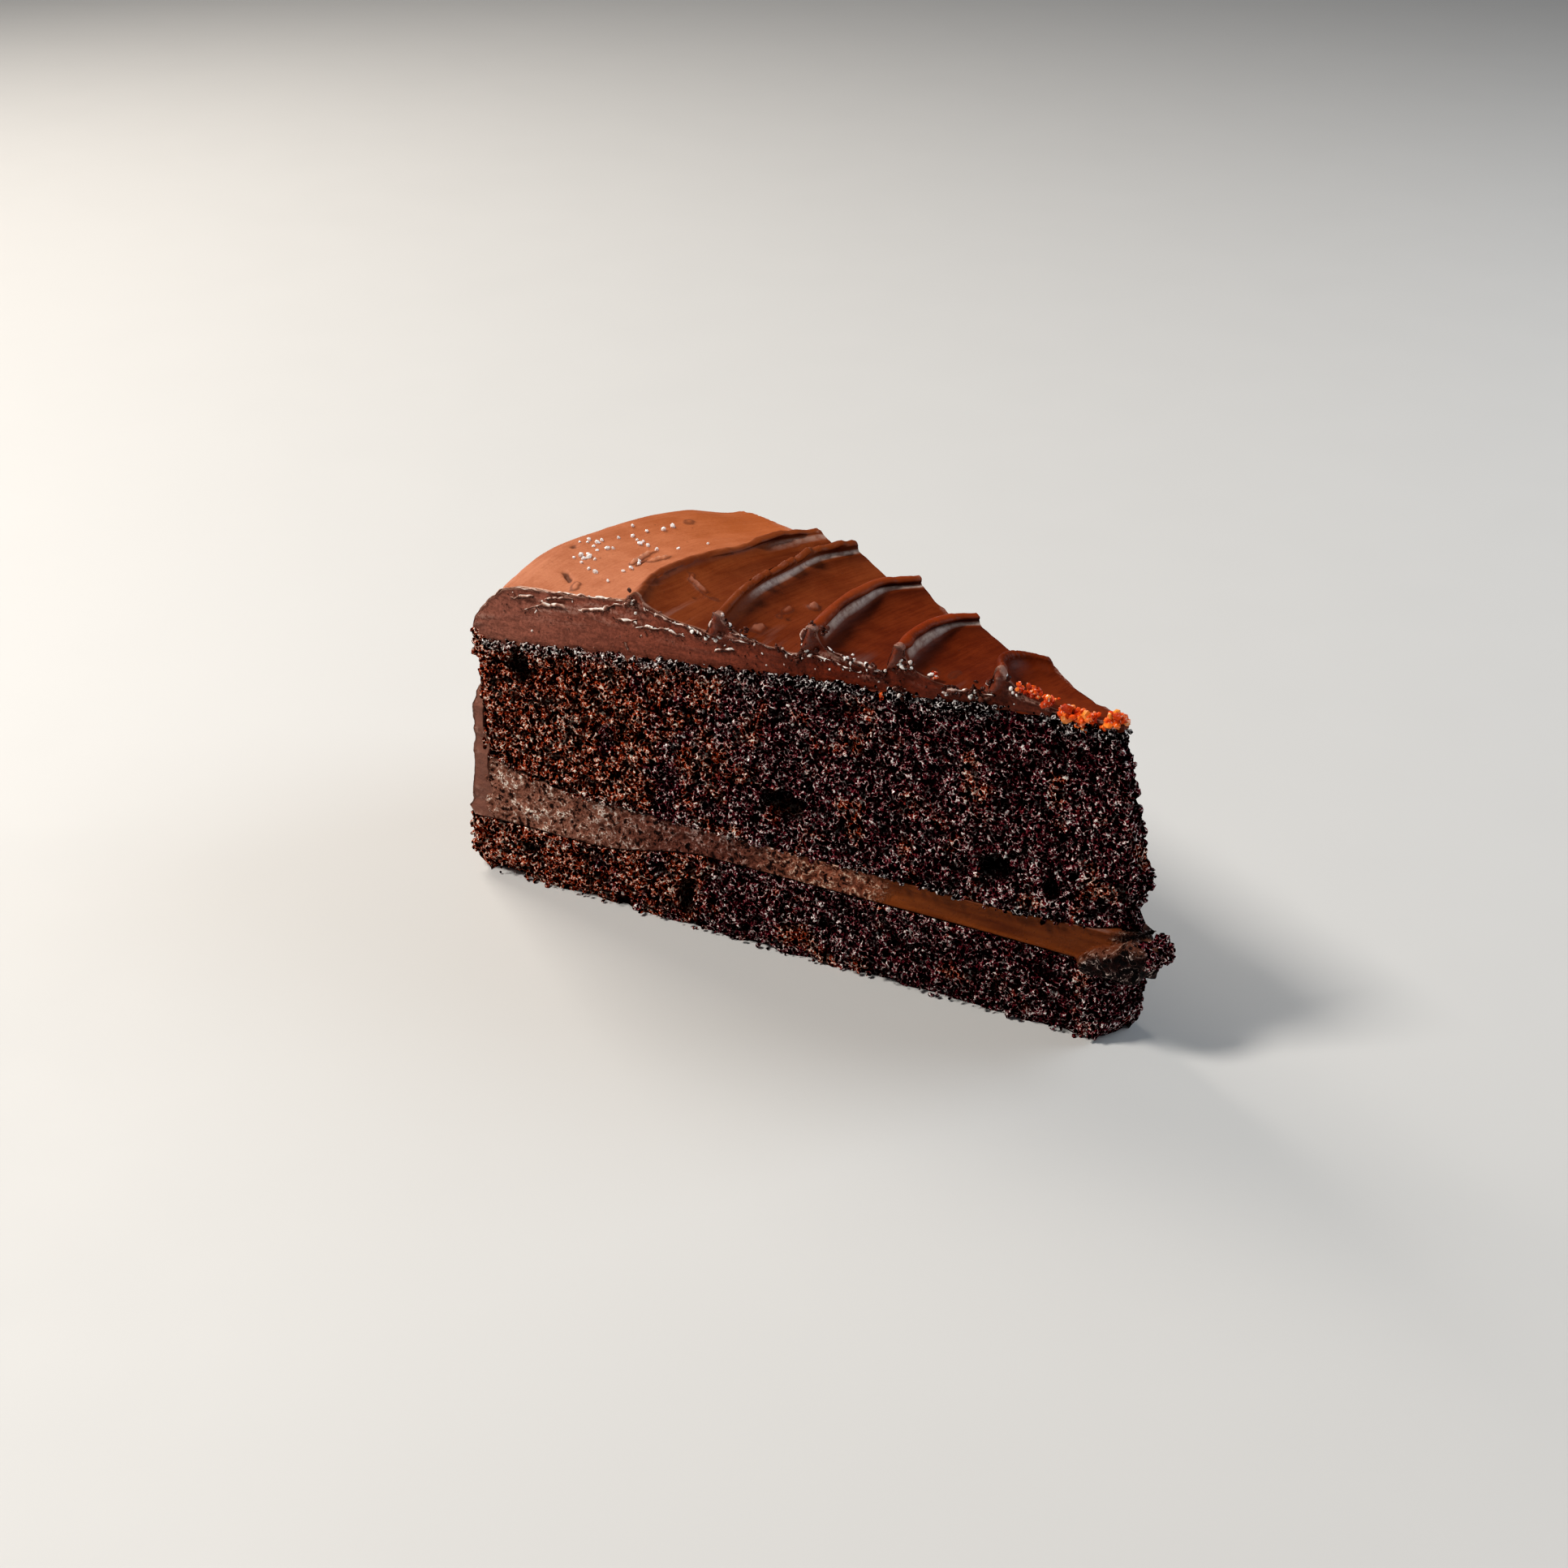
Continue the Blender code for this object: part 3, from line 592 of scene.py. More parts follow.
# small marks in the icing: radius, share, length, width, height, and turn from the sweep's direction
marks = (
    (118.5, 0.12, 2.6, 0.5, -0.9, 0.9), (112.0, 0.36, 4.2, 0.6, 1.0, 0.25), (108.5, 0.38, 2.4, 0.5, 0.9, -0.4),
    (110.6, 0.33, 3.0, 0.4, -0.6, 0.15), (94.5, 0.30, 4.6, 0.45, 1.1, 1.15), (92.0, 0.27, 3.0, 0.4, -0.7, -0.5),
    (75.5, 0.12, 1.7, 0.8, 1.2, 0.2), (73.8, 0.50, 0.9, 0.8, 1.2, 0.7), (76.0, 0.36, 3.4, 0.35, 0.7, 0.35),
    (74.6, 0.33, 2.0, 0.3, -0.5, 0.5), (114.0, 0.06, 2.2, 0.7, 0.5, 0.4), (89.0, 0.55, 1.2, 0.9, 0.4, 0.3),
    (122.0, 0.72, 1.6, 1.0, 0.35, 0.8), (126.5, 0.30, 1.2, 0.8, -0.5, 0.8), (39.0, 0.10, 2.4, 0.7, 0.4, 0.2),
    (36.0, 0.24, 2.0, 0.6, 0.35, 0.1),
)


def markRelief(radius, share):
    total = np.zeros(len(radius))
    for r, s, length, width, height, turn in marks:
        outward = radius - r
        across = (share - s) * cake["angle"] * r
        run = across * math.cos(turn) + outward * math.sin(turn)
        side = outward * math.cos(turn) - across * math.sin(turn) + 0.12 * run * np.sin(run * 1.7)
        total = total + height * np.exp(-(run / length) ** 4 - (side / width) ** 2)
    return total


def nearBeads(radius, height):
    # where the crests were dragged over the near cut by the knife
    bead = np.zeros(len(radius))
    for crest in range(1, len(icing["crestRadii"])):
        r = float(crestRadius(crest, np.zeros(1))[0])
        z = icing["crestHeights"][crest][0]
        lineRadius = r + 1.2 - 1.7 * ease(z - 6, z - 0.5, height)
        bead += hump(0, 1.25, radius - lineRadius) * ease(z - 5.6, z - 4.0, height)
    return bead


def makeIcing():
    even = np.arange(icing["rows"] + 1) / icing["rows"]
    shares = 0.38 * even + 0.62 * even ** 2          # closer together at the near cut
    outside = topStations(shares)
    wall = wallStations(shares)
    outside += wall
    # a few more stations at the foot, until their number can be cut evenly
    while evenCuts(len(outside) - 1) < (len(outside) - 1) / 8:
        radius, height, tones = outside[-1]
        outside.append((radius, height - 0.04, tones))
    inside = insideStations(outside, shares, len(wall))
    columns = len(outside) - 1
    outer = np.array([(radius, height) for radius, height, tones in outside])     # column, which, row
    inner = np.array(inside)
    allTones = np.array([tones for radius, height, tones in outside])
    counts = (columns, icing["rows"], icing["levels"])
    piece = fineBlock("icingTop", counts)
    at = readPlaces(piece)
    column, row, level = (np.rint((at[:, axis] + 0.5) * count).astype(int)
                          for axis, count in enumerate(counts))
    share = shares[row]
    depth = level / icing["levels"]
    radius = inner[column, 0, row] * (1 - depth) + outer[column, 0, row] * depth
    height = inner[column, 1, row] * (1 - depth) + outer[column, 1, row] * depth
    outerRadius = outer[column, 0, row]
    wallStart = columns - len(wall)
    coat = column > wallStart
    onWall = ease(wallStart - 30, wallStart, column)

    # the coat's near edge is torn back below the shoulder, and ragged all the way down
    low, high, inwards = icing["coatTear"]
    torn = coat * ease(low - 5, low + 1, height) * (1 - ease(high - 1, high + 1, height))
    flat = np.stack([radius, height, 0 * height], axis=1)
    ragged = soft(flat, (9, 1.6, 1), 61)
    nearness = 1 - ease(0, 0.05, share)
    coatEdge = coat * (0.006 + 0.006 * soft(flat, (9, 2.6, 1), 62))
    share = share + nearness * (torn * inwards * (0.8 + 0.6 * ragged) + coatEdge * (1 - torn))
    spot = planPoint(radius, share, height)

    # the swept top: knife lines along the sweep, soft swells and small marks
    top = (level == icing["levels"]) * 1.0
    arc = np.stack([radius, share * radius * cake["angle"], height], axis=1)
    knife = 0.045 * soft(arc, (0.7, 22, 3), 71) + 0.07 * soft(arc, (1.9, 30, 6), 72)
    knife = knife + 0.02 * soft(arc, (0.45, 9, 2), 73)
    swell = 0.20 * soft(spot, 13, 75) + 0.07 * soft(spot, 4.5, 76)
    lumpy = 0.42 * soft(spot, 3.4, 77) + 0.18 * soft(spot, 1.3, 78)
    marked = markRelief(radius, share) * (1 - onWall)
    lift = top * (knife + swell + marked + lumpy * onWall)
    spot[:, 2] += lift * (1 - onWall)
    angle = cake["angle"] * (share - 0.5)
    radial = np.stack([-np.cos(angle), np.sin(angle), 0 * angle], axis=1)
    spot += radial * (lift * onWall)[:, None]

    # the cuts: smeared flakes along them, beads where the crests were dragged by the knife
    side = np.where(row == 0, -1, np.where(row == icing["rows"], 1, 0))
    slant = flat + np.stack([0 * radius, 1.2 * soft(flat, 9, 81), 0 * radius], axis=1)
    flake = ease(0.2, 0.6, soft(slant, (7, 0.9, 1), 83)) * ease(0.35, 0.75, depth)
    smear = 0.34 * flake + 0.10 * soft(slant, (4, 0.6, 1), 84)
    smear = smear + 0.06 * soft(flat, 0.8, 85) + 0.16 * soft(flat, 6, 86)
    bead = nearBeads(radius, height)
    burr = top * (0.75 + 0.6 * soft(flat, (2.2, 9, 1), 88))
    foot = (1 - ease(0, 0.16, depth)) * (1 - onWall) * (0.5 + 0.6 * soft(flat, (1.5, 9, 1), 89))
    cut = smear + 2.0 * bead * (side < 0) * (0.8 + 0.3 * soft(flat, 1.4, 87)) + 0.26 * burr - 0.5 * foot
    cut = cut + 0.4 * coat * (1 - depth) * (side < 0)
    spot += np.where(side[:, None] < 0, outOf(0), outOf(1)) * (cut * np.abs(side))[:, None]
    spot[:, 2] += (0.22 * burr * ease(1.6, 0, row) - foot * 0.7) * (1 - onWall) * (row < 3)
    writePlaces(piece, spot)

    # what the material reads, with the crests' painted grey reflection, painted shade and painted light on the rolled
    # edges
    beyond = outerRadius - crestRadius(0, share)
    tone, roll = allTones[column, 0, row] * top, allTones[column, 1, row] * top
    readings = {
        "firstSweep": ease(-0.6, 0.9, beyond - 0.7 * soft(arc, (1, 3, 9), 90)),
        "cut": np.abs(side) * (1 - 0.75 * top),
        "burr": np.clip(burr, 0, 1) * ease(2.3, 0.4, row) * (0.35 + 0.65 * ease(100, 106, radius)),
        "flake": np.abs(side) * flake,
        "wet": np.clip(bead * (side < 0), 0, 1),
        "grey": np.clip(tone, 0, 1),
        "under": np.clip(-tone, 0, 1),
        "roll": roll,
        "mark": top * marked,
        "wall": ease(54, 47, height) * (outerRadius > 120),
    }
    for label, values in readings.items():
        addReading(piece, label, values)
    bpy.ops.object.shade_smooth_by_angle(angle=math.radians(60))
    return piece


# loose pieces: a few small lumps, copied with their own sizes, turns and places, and joined
def lumpMesh(seed, subdivisions, rough):
    bpy.ops.mesh.primitive_ico_sphere_add(subdivisions=subdivisions, radius=1)
    lump = nameActive("lump")
    places = readPlaces(lump)
    faces = np.empty(len(lump.data.polygons) * 3, np.int32)
    lump.data.polygons.foreach_get("vertices", faces)
    draw = np.random.default_rng(seed)
    places = places * (1 + rough * draw.uniform(-1, 1, (len(places), 1)))
    bpy.ops.object.delete()
    return places, faces.reshape(-1, 3)


def turnMatrices(draw, count):
    # random turns, from four numbers each
    turns = draw.normal(size=(count, 4))
    turns /= np.linalg.norm(turns, axis=1, keepdims=True)
    w, x, y, z = turns.T
    rows = [1 - 2 * (y * y + z * z), 2 * (x * y - z * w), 2 * (x * z + y * w),
            2 * (x * y + z * w), 1 - 2 * (x * x + z * z), 2 * (y * z - x * w),
            2 * (x * z - y * w), 2 * (y * z + x * w), 1 - 2 * (x * x + y * y)]
    return np.stack(rows, axis=1).reshape(-1, 3, 3)


def lumpsAt(spots, sizes, seed, subdivisions=1, rough=0.25, own=None):
    # vertices, faces and a number from 0 to 1 on each vertex
    variants = 5
    draw = np.random.default_rng(seed)
    lumps = [lumpMesh(seed + step, subdivisions, rough) for step in range(variants)]
    faces = lumps[0][1]
    which = draw.integers(0, variants, len(spots))
    shapes = np.stack([lump[0] for lump in lumps])[which]
    shapes = shapes * sizes[:, None, :] @ turnMatrices(draw, len(spots)).transpose(0, 2, 1)
    places = (shapes + spots[:, None, :]).reshape(-1, 3)
    perLump = shapes.shape[1]
    allFaces = (faces[None] + (np.arange(len(spots)) * perLump)[:, None, None]).reshape(-1, 3)
    own = draw.uniform(0, 1, len(spots)) if own is None else own
    return places, allFaces, np.repeat(own, perLump)


def joined(name, *parts):
    # one mesh of several sets of places, faces and own numbers
    places, faces, owns, start = [], [], [], 0
    for somePlaces, someFaces, own in parts:
        places.append(somePlaces)
        faces.append(someFaces + start)
        owns.append(own)
        start += len(somePlaces)
    mesh = bpy.data.meshes.new(name)
    mesh.from_pydata((np.concatenate(places) * mm).tolist(), [], np.concatenate(faces).tolist())
    piece = bpy.data.objects.new(name, mesh)
    scene.collection.objects.link(piece)
    addReading(piece, "own", np.concatenate(owns))
    return piece


looseCrumbs = {
    # on the cuts: how many, the cut, radii, heights (over a layer's top where one is named), size,
    # how far they stand out, and that layer's top
    "clinging": (
        (4300, 0.0, (3, 133.5), (0.3, 62), 0.30, 0.15, None),
        (3300, 1.0, (3, 133.5), (0.3, 62), 0.30, 0.15, None),
        (820, 0.0, (3, 133), (-2.4, 0.4), 0.47, 0.4, upperTop),
        (420, 0.0, (3, 133), (0.2, 1.4), 0.34, 0.3, fillingTop),
        (380, 0.0, (14, 133), (-1.2, 0.0), 0.34, 0.3, lowerTop),
        (300, 0.0, (2.6, 9), (0.5, 61), 0.42, 0.2, None),
        (220, 1.0, (2.6, 9), (0.5, 61), 0.42, 0.2, None),
    ),
    # packed into a ragged corner of the near cut: how many, radii, heights, deepest share, size
    "heaps": ((330, (132.8, 135.7), (46.4, 52.2), 0.045, 0.48), (120, (132.0, 134.2), (40.5, 46.5), 0.04, 0.42),
              (300, (136.0, 138.3), (3.6, 11.0), 0.05, 0.46)),
    # standing out past the point: how many, heights, reach, size
    "shelves": ((210, (16.8, 22.6), 3.0, 0.42), (90, (31.5, 36.5), 1.5, 0.42)),
    "seeds": (5, 90),
}


def makeCrumbs():
    draw = np.random.default_rng(looseCrumbs["seeds"][0])
    spots, sizes, strips = [], [], []

    def add(places, size, strip=0.0):
        count = len(places)
        spots.append(places)
        sizes.append(draw.lognormal(math.log(size), 0.35, (count, 1)) * draw.uniform(0.6, 1.4, (count, 3)))
        strips.append(np.zeros(count) + strip)

    recessEnd, (_, recessFloor, recessCeiling) = 9, crumb["recess"]
    for count, share, radii, heights, size, out, layerTop in looseCrumbs["clinging"]:
        r = draw.uniform(*radii, count)
        z = draw.uniform(*heights, count)
        if layerTop:
            z = layerTop(r, share) + draw.uniform(*heights, count)
        flat = np.stack([r, z, 0 * r], axis=1)
        keep = z < upperTop(r, share) + 0.6
        keep &= (z < lowerTop(r, share) - 0.2) | (z > fillingTop(r, share) - 0.3)
        keep &= (r > recessEnd) | (z < recessFloor) | (z > recessCeiling)
        keep &= pocketDepth(r, np.full(count, share), z, flat) < 0.5
        if layerTop:
            keep &= soft(flat, 4, 33) > -0.25
        r, z = r[keep], z[keep]
        # crumbs under the icing and along the filling's top get painted glints, as in the moist strip
        strip = hump(0, crumb["stripHeight"], upperTop(r, share) - z) + (0.75 if layerTop is fillingTop else 0)
        add(planPoint(r, share, z) + outOf(share) * draw.normal(out, 0.2, len(r))[:, None], size, strip)
    for count, radii, heights, deepest, size in looseCrumbs["heaps"]:
        r, z = draw.uniform(*radii, count), draw.uniform(*heights, count)
        add(planPoint(r, draw.uniform(0, deepest, count), z), size)
    for count, heights, reach, size in looseCrumbs["shelves"]:
        z = draw.uniform(*heights, count)
        middle, half = sum(heights) / 2, (heights[1] - heights[0]) / 2
        far = draw.uniform(0, 1, count) ** 1.3 * reach * (1 - 0.7 * (np.abs(z - middle) / half) ** 2)
        pointwards = np.array((1, -0.15, 0))
        add(planPoint(cake["pointRadius"], draw.uniform(0, 1, count), z) + far[:, None] * pointwards, size)
    lumps = lumpsAt(np.concatenate(spots), np.concatenate(sizes), looseCrumbs["seeds"][1])
    crumbs = joined("looseCrumbs", lumps)
    perLump = len(crumbs.data.vertices) // len(np.concatenate(strips))
    addReading(crumbs, "strip", np.repeat(np.concatenate(strips), perLump))
    return crumbs


# flakes and smears of icing on the near cut: thickness, then radius and height along each
smears = (
    (0.42, ((126.5, 60.3), (120.7, 62.0))),
    (0.40, ((123.3, 58.5), (118.6, 60.5), (114.4, 61.0), (112.6, 60.1))),
    (0.48, ((111.2, 61.0), (108.4, 61.7), (105.6, 62.2), (102.9, 63.9), (100.2, 64.6), (97.9, 65.0))),
    (0.40, ((102.9, 61.1), (98.0, 61.8))),
    (0.44, ((96.7, 64.4), (93.6, 63.8), (90.1, 63.0), (87.0, 62.6), (83.6, 61.9), (82.2, 62.4))),
    (0.36, ((98.6, 60.2), (92.2, 61.4), (87.9, 60.4))),
    (0.30, ((118.6, 61.6), (115.6, 62.8), (112.0, 63.0))),
    (0.26, ((100.9, 56.6), (100.3, 55.5))),
    (0.55, ((81.0, 67.0), (81.4, 65.4), (81.7, 63.9), (80.5, 62.6))),
    (0.40, ((78.7, 63.4), (75.8, 63.4), (73.8, 63.0), (71.3, 62.6), (69.6, 62.3))),
    (0.34, ((78.7, 62.0), (76.6, 62.2), (73.8, 62.3))),
    (0.30, ((81.8, 59.3), (80.6, 59.7), (77.5, 60.2))),
    (0.46, ((68.1, 62.5), (66.3, 61.9), (64.1, 61.8), (63.3, 63.0))),
    (0.62, ((61.9, 68.0), (62.7, 66.4), (63.0, 64.3), (61.1, 64.9))),
    (0.44, ((58.5, 65.0), (56.5, 63.9), (54.4, 63.3), (52.0, 62.8), (49.5, 62.6), (47.1, 62.7))),
    (0.28, ((61.7, 62.8), (58.4, 62.6), (56.0, 62.0), (53.5, 61.6), (50.8, 61.3))),
    (0.60, ((44.1, 67.6), (43.7, 66.4), (44.8, 64.8), (42.1, 64.4))),
    (0.50, ((38.6, 64.3), (37.2, 64.2))),
    (0.42, ((45.5, 59.8), (42.8, 60.2))),
    (0.52, ((35.4, 61.2), (34.2, 62.0), (31.1, 62.7), (28.4, 62.8), (25.8, 62.8))),
    (0.55, ((25.5, 67.4), (24.7, 66.2), (25.4, 65.2))),
)


# knots of wet icing where the crests were dragged over the cut: radius, height, spread, count, size
knots = (
    (99.2, 65.4, 0.9, 16, 0.42), (85.5, 62.1, 0.7, 10, 0.34), (83.4, 62.1, 0.6, 8, 0.34),
    (80.9, 66.3, 0.6, 16, 0.50), (80.9, 63.9, 0.8, 12, 0.38), (81.4, 62.0, 0.6, 10, 0.36),
    (78.3, 65.0, 0.6, 10, 0.36), (75.0, 64.9, 0.6, 9, 0.36), (67.3, 62.7, 0.9, 14, 0.36),
    (64.3, 61.7, 0.8, 12, 0.38), (61.7, 67.9, 0.6, 16, 0.55), (62.3, 64.8, 0.8, 14, 0.50),
    (62.6, 63.2, 0.6, 10, 0.38), (59.2, 68.0, 0.6, 8, 0.45), (54.1, 64.0, 0.8, 14, 0.36),
    (49.7, 63.1, 0.9, 14, 0.40), (47.3, 62.6, 0.6, 10, 0.36), (44.1, 67.1, 0.6, 14, 0.45),
    (43.3, 64.7, 0.9, 18, 0.42), (41.7, 65.0, 0.6, 10, 0.42), (45.4, 64.4, 0.6, 10, 0.36),
    (33.6, 62.3, 0.8, 12, 0.40), (29.0, 62.5, 1.1, 20, 0.42), (24.1, 66.6, 0.7, 14, 0.48),
    (44.1, 59.6, 1.1, 12, 0.38), (26.6, 65.2, 0.8, 16, 0.44), (22.2, 64.6, 0.8, 12, 0.40),
)


def lengthsAlong(path):
    return np.append(0, np.cumsum(np.linalg.norm(np.diff(path, axis=0), axis=1)))


def ribbon(path, thick):
    # a torn ridge of icing along a path on the near cut, thin and jagged, painted palest at its upper edge as a
    # highlight and darker underneath as shade
    path = np.array(path)
    lengths = lengthsAlong(path)
    ringSpacing, fewestRings, sides = 0.2, 8, 7
    count = max(fewestRings, int(lengths[-1] / ringSpacing))
    where = np.linspace(0, lengths[-1], count)
    line = np.stack([where, np.full(count, path[0, 0]), np.zeros(count)], axis=1)
    r = np.interp(where, lengths, path[:, 0]) + 0.14 * soft(line, 0.8, 142)
    z = np.interp(where, lengths, path[:, 1]) + 0.30 * soft(line, 1.3, 141)
    taper = np.clip(2.5 * np.sin(math.pi * (np.arange(count) + 0.3) / (count - 0.4)), 0.02, 1)
    broken = 0.35 + 0.65 * ease(-0.45, -0.05, soft(line, 1.7, 145))
    tall = thick * taper * broken * (0.95 + 0.6 * soft(line, 0.9, 143))
    out = thick * taper * broken * (1.25 + 0.9 * soft(line, 0.6, 144))
    run = np.stack([np.gradient(r), np.gradient(z)], axis=1)
    run /= np.linalg.norm(run, axis=1, keepdims=True)
    run *= np.where(run[:, :1] < 0, 1, -1)
    rimward = planPoint(101, 0, 60) - planPoint(100, 0, 60)
    upward = run[:, 1:] * rimward - run[:, :1] * np.array((0, 0, 1))
    middle = planPoint(r, 0.0, z) + outOf(0) * 0.12
    angles = 2 * math.pi * np.arange(sides) / sides
    up = np.cos(angles) + 0.6 * np.maximum(0, np.sin(angles))
    outward = 0.05 + np.sin(angles) * np.where(np.sin(angles) > 0, 1.1, 0.4)
    places = middle[:, None] + upward[:, None] * (tall[:, None] * up)[:, :, None]
    places = places + outOf(0) * (out[:, None] * outward)[:, :, None]
    ring = np.arange(count - 1)[:, None] * sides + np.arange(sides)
    beside = np.arange(count - 1)[:, None] * sides + (np.arange(sides) + 1) % sides
    first, second, third, fourth = (part.ravel() for part in (ring, beside, beside + sides, ring + sides))
    faces = [np.stack([first, second, third], axis=1), np.stack([first, third, fourth], axis=1)]
    for start, flip in ((0, 1), ((count - 1) * sides, -1)):
        cap = np.array([(0, step + 1, step) for step in range(1, sides - 1)])[:, ::flip]
        faces.append(cap + start)
    # pale: a painted highlight along the upper side of each ring and painted shade along its underside
    pale = 0.38 + 0.48 * np.clip(up, -1, 1) + 0.34 * soft(line, 0.7, 146)[:, None]
    return places.reshape(-1, 3), np.concatenate(faces), np.clip(pale, 0, 1).ravel()


# the burr along the upper edge of the widest sweep, its ribbons painted pale along their tops as a highlight: radii
# from and to, step, and for each of three ribbons its first and last point and its thickness; then the small specks
# over the cut
burrs = {"edge": (133.6, 100.5, -1.1), "ribbons": ((0, 12, 0.17), (10, 21, 0.24), (19, 31, 0.30))}
specks = {"count": 110, "radii": (20, 130), "sizes": (0.09, 0.24), "ceiling": 62.2, "sweepFrom": 104}


def makeFlakes():
    draw = np.random.default_rng(17)
    spots, sizes, pale, ribbons = [], [], [], []

    def add(r, z, out, size, glintShare):
        count = len(r)
        spots.append(planPoint(r, 0.0, z) + outOf(0) * out[:, None])
        sizes.append(size)
        # a share of the lumps is made near white: painted glints
        isGlint = draw.uniform(0, 1, count) < glintShare
        pale.append(np.where(isGlint, draw.uniform(0.8, 1, count), draw.uniform(0, 0.6, count)))

    for thick, path in smears:
        ribbons.append(ribbon(path, thick))
        path = np.array(path)
        lengths = lengthsAlong(path)
        count = int(lengths[-1] / (thick * 2.6)) + 2
        where = np.sort(draw.uniform(0, lengths[-1], count))
        r = np.interp(where, lengths, path[:, 0]) + draw.normal(0, 0.3, count)
        z = np.interp(where, lengths, path[:, 1]) + draw.normal(0, 0.35, count)
        size = thick * draw.uniform(0.3, 0.8, (count, 3)) * np.array((1.5, 0.7, 0.6))
        add(r, z, draw.uniform(0.1, 0.3 + thick * 0.5, count), size, 0.25)
    edge = [(radius, topAt(radius, 0.0) - 0.12) for radius in np.arange(*burrs["edge"])]
    for start, end, thick in burrs["ribbons"]:
        ribbons.append(ribbon(edge[start:end], thick))
    for radius, height, spread, count, size in knots:
        r, z = draw.normal(radius, spread * 0.6, count), draw.normal(height, spread * 0.7, count)
        add(r, z, draw.uniform(0.0, spread + 0.2, count), size * draw.uniform(0.5, 1.2, (count, 3)), 0.22)
    count = specks["count"]
    r = draw.uniform(*specks["radii"], count)
    ceiling = [topAt(radius, 0.0) - 0.6 if radius > specks["sweepFrom"] else specks["ceiling"] for radius in r]
    low = upperTop(r, 0) + 1.0
    z = low + draw.uniform(0, 1, count) ** 0.6 * (np.array(ceiling) - low)
    add(r, z, draw.uniform(0.0, 0.2, count), draw.uniform(*specks["sizes"], (count, 3)), 0.15)
    own = np.concatenate(pale)
    lumps = lumpsAt(np.concatenate(spots), np.concatenate(sizes), 210, subdivisions=2, rough=0.22, own=own)
    piece = joined("icingFlakes", lumps, *ribbons)
    bpy.context.view_layer.objects.active = piece
    piece.select_set(True)
    bpy.ops.object.mode_set(mode="EDIT")
    bpy.ops.mesh.select_all(action="SELECT")
    bpy.ops.mesh.normals_make_consistent(inside=False)
    bpy.ops.object.mode_set(mode="OBJECT")
    bpy.ops.object.shade_smooth()
    piece.select_set(False)
    return piece


# sugar crystals on the widest sweep
crystals = {
    # how many, middle of the group as radius and share, and its spread
    "groups": ((9, (123.0, 0.345), (2.0, 0.02)), (8, (120.0, 0.24), (2.6, 0.035)),
               (11, (118.5, 0.50), (2.8, 0.06)), (9, (111.0, 0.33), (1.8, 0.08))),
    "size": (0.6, 1.1),
    "radii": (106.0, 128.0),
    "shares": (0.1, 0.8),
    "apart": 1.1,
    "seed": 11,
}


def topAt(radius, share):
    # height of the widest sweep
    s = np.array([share])
    stretch = (shoulderRadius(s) - crestRadius(0, s) - 1.0) / sweepWidth
    return float(shoulderHeight((shoulderRadius(s) - radius) / stretch, s)[0])


def makeCrystals():
    draw = random.Random(crystals["seed"])
    taken, sizes = [], []
    for count, centre, spread in crystals["groups"]:
        wanted = len(taken) + count
        while len(taken) < wanted:
            radius, share = (draw.gauss(middle, width) for middle, width in zip(centre, spread))
            size = draw.uniform(*crystals["size"])
            (nearest, farthest), (low, high) = crystals["radii"], crystals["shares"]
            if not (nearest < radius < farthest and low < share < high):
                continue
            spot = planPoint(radius, share, topAt(radius, share) + 0.25 * size)
            if all(np.linalg.norm(spot - other) > crystals["apart"] for other in taken):
                taken.append(spot)
                sizes.append(np.array((size, size * 0.8, size * 0.75)) * 0.6)
    return joined("sugarCrystals", lumpsAt(np.array(taken), np.array(sizes), 130, rough=0.22))


# orange-brown crumb clumps on the near edge of the icing: radius, height, spread, count, size of lump
tipClumps = (
    (3.9, 63.5, 1.15, 54, 0.58), (5.0, 61.8, 0.7, 14, 0.45), (8.0, 62.9, 1.1, 34, 0.52),
    (10.4, 62.4, 1.15, 46, 0.58), (12.9, 62.9, 0.95, 36, 0.54), (9.6, 61.2, 0.7, 14, 0.48),
    (15.8, 64.3, 0.95, 28, 0.48), (18.6, 65.1, 1.0, 26, 0.44), (21.2, 65.0, 0.9, 18, 0.40),
    (37.4, 64.2, 0.7, 12, 0.46), (47.8, 57.8, 0.6, 6, 0.35),
)


def makeTipCrumbs():
    draw = np.random.default_rng(8)
    spots, sizes = [], []
    for r, z, spread, count, size in tipClumps:
        radius = np.clip(r + draw.normal(0, spread * 0.6, count), 0.8, 140)
        height = z + draw.normal(0, spread * 0.45, count)
        out = draw.normal(0.1, spread * 0.45, count)
        spots.append(planPoint(radius, 0.0, height) + outOf(0) * out[:, None])
        sizes.append(draw.lognormal(math.log(size), 0.3, (count, 1)) * draw.uniform(0.6, 1.3, (count, 3)))
    return joined("toffeeCrumbs", lumpsAt(np.concatenate(spots), np.concatenate(sizes), 150))


class Wire:
    # a value or colour inside a material, which + - * and ** work on
    def __init__(self, finish, socket):
        self.finish, self.socket = finish, socket

    def __add__(self, other):
        return self.finish.maths("ADD", self, other)

    def __radd__(self, other):
        return self.finish.maths("ADD", other, self)

    def __sub__(self, other):
        return self.finish.maths("SUBTRACT", self, other)

    def __rsub__(self, other):
        return self.finish.maths("SUBTRACT", other, self)

    def __mul__(self, other):
        return self.finish.maths("MULTIPLY", self, other)

    def __rmul__(self, other):
        return self.finish.maths("MULTIPLY", other, self)

    def __pow__(self, other):
        return self.finish.maths("POWER", self, other)


